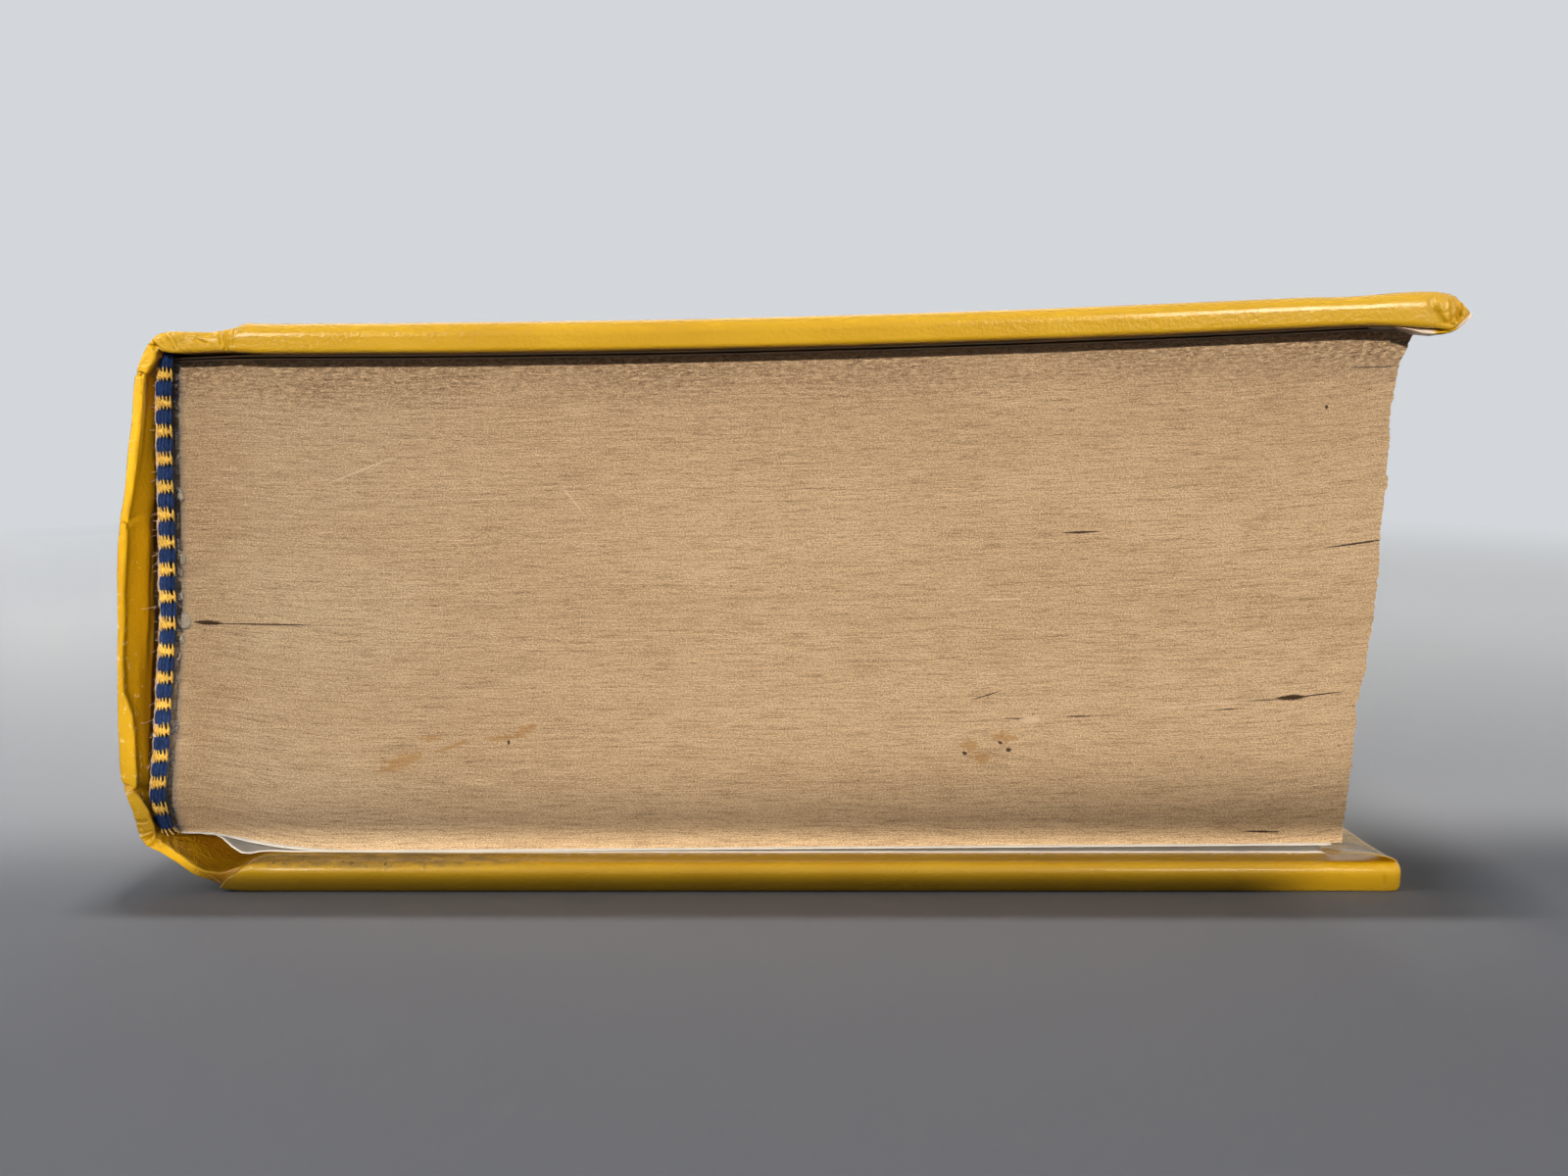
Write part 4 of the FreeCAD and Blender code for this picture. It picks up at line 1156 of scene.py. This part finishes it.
def make_headband(name, end, dark, blue, gold, pale, fluff, stands_for):
    """A woven bead: blocks of blue and gold stitches that dive between each other, over a cord."""
    vary = random.Random(11 if end < 0 else 23).uniform
    low, high = 6.6, 62.0

    def left(z):
        return follow(BAND_LEFT, z)[0]

    def core(i, j):
        z = mix(low, high, i / CORD_STEPS)
        turn = 2 * math.pi * (j % 14) / 14
        swell = 0.0 if i in (0, CORD_STEPS) else 1.0
        return (left(z) + BAND_WIDTH / 2 - 0.14 + 0.38 * BAND_WIDTH * math.cos(turn) * swell,
                end * (PAGE_END + 0.74 + 0.60 * math.sin(turn) * swell), z)

    pieces = [piece(name + "_cord", close_seams(bend_grid(CORD_STEPS, 14, core)), dark)]
    stitches = {"blue": bmesh.new(), "gold": bmesh.new()}
    fuzz = {"blue": [], "gold": []}

    def spot_at(z, offset, lift=0.0):
        return Vector((left(z) + BAND_WIDTH / 2 + offset,
                       band_front(offset, end) + end * (lift - 0.12), z))

    top = BAND_FIRST
    while top > low:
        for column in range(-2, 3):
            offset = column * 0.36 + vary(-0.03, 0.03)
            length = 2.0 + vary(-0.1, 0.1)
            z = max(low + 0.6, top - 0.92 + vary(-0.06, 0.06))
            if top == BAND_FIRST:
                z, length = top - 0.92, 2.0
            float_of_thread(stitches["blue"], spot_at(z, offset), leaning(z), 0.46, 0.42, length,
                            0.7)
        bar = top - GOLD_BAR
        if bar > low + 0.2:
            float_of_thread(stitches["gold"], spot_at(bar, -0.05), leaning(bar, math.pi / 2),
                            0.62, 0.40, 1.70, 0.9)
        for column in range(-2, 3):
            offset = column * 0.37 + vary(-0.04, 0.04)
            if bar < low + 0.2:
                break
            float_of_thread(stitches["gold"], spot_at(bar, offset, 0.08), leaning(bar), 0.34, 0.40,
                            1.00 + vary(-0.08, 0.12), 0.75)
            spike_of_thread(stitches["gold"], spot_at(bar + 0.26, offset, 0.08),
                            leaning(bar, vary(-0.20, -0.02)), 0.25, 0.74 + vary(-0.16, 0.18))
            spike_of_thread(stitches["gold"], spot_at(bar - 0.26, offset + 0.05, 0.06),
                            leaning(bar, math.pi + vary(-0.1, 0.1)), 0.24, 0.50 + vary(-0.12, 0.14))
        for tone, share, depth, amount in (("blue", 0.0, 1.6, 16), ("gold", 1.9, 1.0, 7)):
            for _ in range(amount):
                z = top - share - vary(0.1, depth)
                offset = vary(-0.85, 0.85)
                if z < low + 0.3:
                    continue
                aim = Vector((vary(-0.3, 0.3), end * 0.04, vary(-0.35, 0.35)))
                fuzz[tone].append(fibre(spot_at(z, offset, 0.26), aim,
                                        (0, end * vary(0.02, 0.12), 0)))
        top -= BAND_PERIOD
    for tone, finish in (("blue", blue), ("gold", gold)):
        pieces.append(piece(f"{name}_{tone}_thread", stitches[tone], finish, 0))
        pieces.append(strands(f"{name}_{tone}_fuzz", fuzz[tone], 0.035, finish))

    def edge(i, j):
        z = mix(low + 0.4, high - 1.2, i / TAPE_STEPS)
        ragged = 0.13 * patchy((0, 0, z), 0.6, 12.0) + 0.10 * patchy((0, 0, z), 0.22, 2.0)
        return (left(z) + mix(-0.28 + ragged, 0.22, j / 3),
                end * (PAGE_END + mix(0.95, 1.36, j / 3)), z)

    pieces.append(walled(piece(name + "_tape", bend_grid(TAPE_STEPS, 3, edge), pale), 0.12))
    halo = []
    for _ in range(HALO_FIBRES):
        z = vary(low, high - 0.3)
        right = left(z) + BAND_WIDTH
        start = Vector((right - vary(0.0, 0.3), end * (PAGE_END + vary(0.4, 1.1)), z))
        tip = Vector((right + vary(0.05, 0.65) * vary(0.4, 1.0),
                      end * (PAGE_END + vary(0.08, 0.7)), z + vary(-0.45, 0.45)))
        halo.append(fibre(start, tip - start, (vary(0.0, 0.25), 0, vary(-0.3, 0.3))))
    strays = []
    for _ in range(STRAY_FIBRES):
        z = vary(low + 1, high - 1)
        start = Vector((left(z) - 0.1, end * (PAGE_END + 1.1), z))
        reach = Vector((-vary(0.25, 0.8), end * vary(0.0, 0.3), vary(-0.5, 0.3)))
        strays.append(fibre(start, reach, (vary(-0.2, 0.2), 0, vary(-0.25, 0.35)), 0.6))
    for z, length in ((33.5, 1.9), (20.2, 1.4)):
        start = Vector((left(z), end * (PAGE_END + 1.3), z))
        strays.append(fibre(start, Vector((-length, end * 0.5, -0.45)), (0, end * 0.15, -0.275)))
    ends = []
    for k in range(-4, 5):
        reach = Vector((0.35 + 0.10 * k + vary(-0.1, 0.1), end * 0.05,
                        -0.75 + 0.05 * k + vary(-0.12, 0.12)))
        ends.append(fibre(spot_at(low + 0.5, k * 0.2, 0.1), reach))
    for part, lines, thickness, finish in (
            ("halo_dark", halo[::2], 0.05, blue), ("halo_pale", halo[1::2], 0.04, fluff),
            ("loose_fibres", strays, 0.05, pale), ("frayed_gold", ends[::2], 0.17, gold),
            ("frayed_blue", ends[1::2], 0.13, dark)):
        pieces.append(strands(f"{name}_{part}", lines, thickness, finish))
    for made in pieces:
        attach(made, "text_block")
    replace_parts(pieces[0], stands_for)


# Drops of glue that ran out beside the headband: z, width, height, how far to the right.
GLUE_DROPS = [
    (45.84, 0.8, 1.5, 0.15), (38.53, 0.9, 1.3, 0.20), (36.9, 0.5, 0.9, 0.1), (31.4, 1.5, 2.1, 0.35),
    (29.2, 0.8, 1.2, 0.15), (18.95, 0.5, 0.8, 0.2), (50.2, 0.35, 0.5, 0.1), (55.6, 0.3, 0.4, 0.05),
    (24.4, 0.45, 0.7, 0.1), (14.6, 0.4, 0.6, 0.05), (34.3, 0.5, 1.0, 0.05), (27.2, 0.5, 0.9, 0.05)]


def make_glue(finish):
    """Dried glue along the headband at the head: lumpy drops beside it."""
    bm = bmesh.new()
    for z, width, height, shift in GLUE_DROPS:
        right = follow(BAND_LEFT, z)[0] + BAND_WIDTH
        made = bmesh.ops.create_icosphere(bm, subdivisions=3, radius=1.0)
        for v in made["verts"]:
            lumpy = 1 + 0.22 * patchy(v.co, 0.8, z)
            v.co = Vector((right + shift + v.co.x * width / 2 * lumpy,
                           -PAGE_END - 0.12 + v.co.y * 0.30 * lumpy,
                           z + v.co.z * height / 2 * lumpy)) * MM
    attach(piece("glue_drops", bm, finish, 0), "text_block")


# ---- floor, lamps and camera

BACKGROUND = colour(211, 215, 219)
FLOOR_REACH = 12.0
# The camera's place: X, how far in front of the head, Z; its lens, and how far it looks down.
CAMERA_PLACE = (-0.94, 130.6, 52.8)
LENS = 27.0
LOOKS_DOWN = 7.5
# Name, place, aim, size, power, spread in degrees, roll in degrees, tint.
LAMPS = [
    ("top_lamp", (0, -0.004, 1.0), (0, -0.004, 0.0), (0.18, 0.03), 3.0, 180, 0, (1.0, 0.99, 0.98)),
    ("ceiling_lamp", (-0.22, 0.50, 0.75), (0, -0.05, 0.03), (1.1, 0.5), 2.0, 180, 0,
     (0.97, 0.98, 1.0)),
    ("left_lamp", (-0.70, -0.15, 0.45), (-0.10, -0.12, 0.02), (0.4, 0.4), 1.8, 180, 0,
     (0.90, 0.95, 1.0)),
    ("front_lamp", (0.03, -0.392, 0.2700), (0.03, -0.048, 0.1022), (0.9, 0.22), 0.77, 3, 1.5,
     (1.0, 0.96, 0.90)),
    ("side_lamp", (0.088, -0.349, 0.120), (-0.0734, -0.110, 0.040), (0.002, 0.05), 0.0008, 1.6, 0,
     (1.0, 0.88, 0.68)),
    ("foot_patch", (0.02, -0.40, 0.05), (0.02, -0.111, 0.0045), (0.20, 0.002), 0.0034, 1.2, 0,
     (1.0, 0.95, 0.85)),
    ("right_patch", (0.13, -0.50, 0.07), (0.068, -0.111, 0.001), (0.02, 0.004), 0.0003, 2, 0,
     (1.0, 0.95, 0.85)),
    ("right_glint", (0.155, -0.33, 0.18), (0.056, -0.111, 0.067), (0.09, 0.09), 0.0120, 24, 0,
     (1.0, 0.97, 0.92)),
    ("left_glint", (-0.19, -0.33, 0.17), (-0.068, -0.11, 0.06), (0.06, 0.06), 0.20, 180, 0,
     (1.0, 0.97, 0.92)),
]


def make_stage():
    """A pale floor, darker towards the front as painted shade in front of the book, that runs into
    a plain pale background, under soft lamps.
    """
    bm = bmesh.new()
    bmesh.ops.create_grid(bm, x_segments=1, y_segments=1, size=FLOOR_REACH)
    material, tree, shader = new_material("pale_floor", roughness=1.0, specular_ior_level=0.0)
    place = tree.place()
    # Darker towards the front: painted shade.
    depth = tree.ramp(tree.parts(place)["Y"], -0.20, 0.12)
    tree.put(shader.inputs["Base Color"], tree.layer(colour(138, 140, 146),
                                                     (depth, (184, 187, 190))))
    away = tree.add("VectorMath", {0: place}, operation="LENGTH").outputs["Value"]
    seen = tree.add("LightPath").outputs
    share = tree.times(tree.ramp(away, 0.26, 0.62), seen["Is Camera Ray"])
    glow = tree.add("Emission", {"Color": BACKGROUND, "Strength": 1.0}).outputs[0]
    ground = tree.add("MixShader", {0: share, 1: shader.outputs[0], 2: glow}).outputs[0]
    tree.put(material.node_tree.nodes["Material Output"].inputs["Surface"], ground)
    piece("floor", bm, material, 0)

    world = bpy.data.worlds.new("soft_room")
    bpy.context.scene.world = world
    world.use_nodes = True
    tree = Tree(world.node_tree)
    back = world.node_tree.nodes["Background"].inputs
    seen = tree.add("LightPath").outputs
    plain = tree.math("MAXIMUM", seen["Is Camera Ray"], seen["Is Transmission Ray"])
    plain = tree.math("MAXIMUM", plain, seen["Is Glossy Ray"])
    tree.put(back["Color"], tree.blend(plain, (0.92, 0.95, 1.0, 1), BACKGROUND))
    tree.put(back["Strength"], tree.ramp(plain, 0.0, 1.0, 0.10, 1.0))

    for name, place, aim, size, power, spread, roll, tint in LAMPS:
        lamp = bpy.data.lights.new(name, "AREA")
        lamp.shape = "RECTANGLE"
        lamp.size, lamp.size_y = size
        lamp.energy = power
        lamp.spread = math.radians(spread)
        lamp.color = tint
        holder = shown(name, lamp)
        holder.visible_glossy = name in ("ceiling_lamp", "left_lamp") or "glint" in name
        holder.visible_diffuse = "glint" not in name
        holder.location = place
        holder.rotation_euler = (Vector(aim) - Vector(place)).to_track_quat("-Z", "Y").to_euler()
        holder.rotation_euler.rotate_axis("Z", math.radians(roll))


def make_camera():
    """A close wide view of the head, from just above the middle of the book."""
    lens = bpy.data.cameras.new("camera")
    lens.lens = LENS
    lens.sensor_width = 36.0
    lens.clip_start = 0.005
    holder = shown("camera", lens)
    x, away, z = Vector(CAMERA_PLACE) * MM
    holder.location = (x, cad_box[0].y - away, z)
    holder.rotation_euler = (math.radians(90 - LOOKS_DOWN), 0, 0)
    bpy.context.scene.camera = holder


# ---- the book

make_groups()
bpy.context.scene.view_settings.view_transform = "Standard"
make_camera()
make_stage()

white_paper = plain_finish("endpaper_white", (190, 184, 177), (182, 175, 167), 0.004)
# The front endpapers' tan tone is painted shade under the front board.
shaded_tan_paper = plain_finish("endpaper_shaded_tan", (188, 163, 136), (181, 154, 126), 0.006)
grey_board = plain_finish("grey_board", (150, 138, 120), (132, 120, 104), 0.002)
dry_glue = plain_finish("spine_glue_film", (214, 204, 178), (196, 184, 156), 0.003, 0.45)
kraft = plain_finish("kraft_lining", (186, 150, 108), (170, 134, 94), 0.002)
gauze = woven_finish("mull_gauze", (214, 206, 190), (170, 158, 136), 0.0011)
dark_thread = thread_finish("dark_thread", (24, 28, 46), (10, 12, 24))
blue_thread = thread_finish("blue_thread", (30, 57, 106), (9, 22, 55))
gold_thread = thread_finish("gold_thread", (236, 196, 94), (176, 128, 44))
pale_thread = thread_finish("pale_tape", (218, 190, 164), (140, 104, 80))
grey_fluff = thread_finish("grey_fluff", (150, 152, 160), (96, 104, 122))

laminate = cover_finish()
make_case(laminate, grey_board)
make_loose_paper(laminate)
make_pages(page_finish())
make_endpapers(white_paper, shaded_tan_paper, gauze)
threads = (dark_thread, blue_thread, gold_thread, pale_thread, grey_fluff)
make_headband("head_band", -1, *threads, "headband")
make_headband("tail_band", 1, *threads, "tailband")
make_glue(glue_finish())

for node, finish in (("spine_glue", dry_glue), ("spine_mull", gauze), ("spine_lining", kraft)):
    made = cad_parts[node]
    made.data.materials.clear()
    made.data.materials.append(finish)
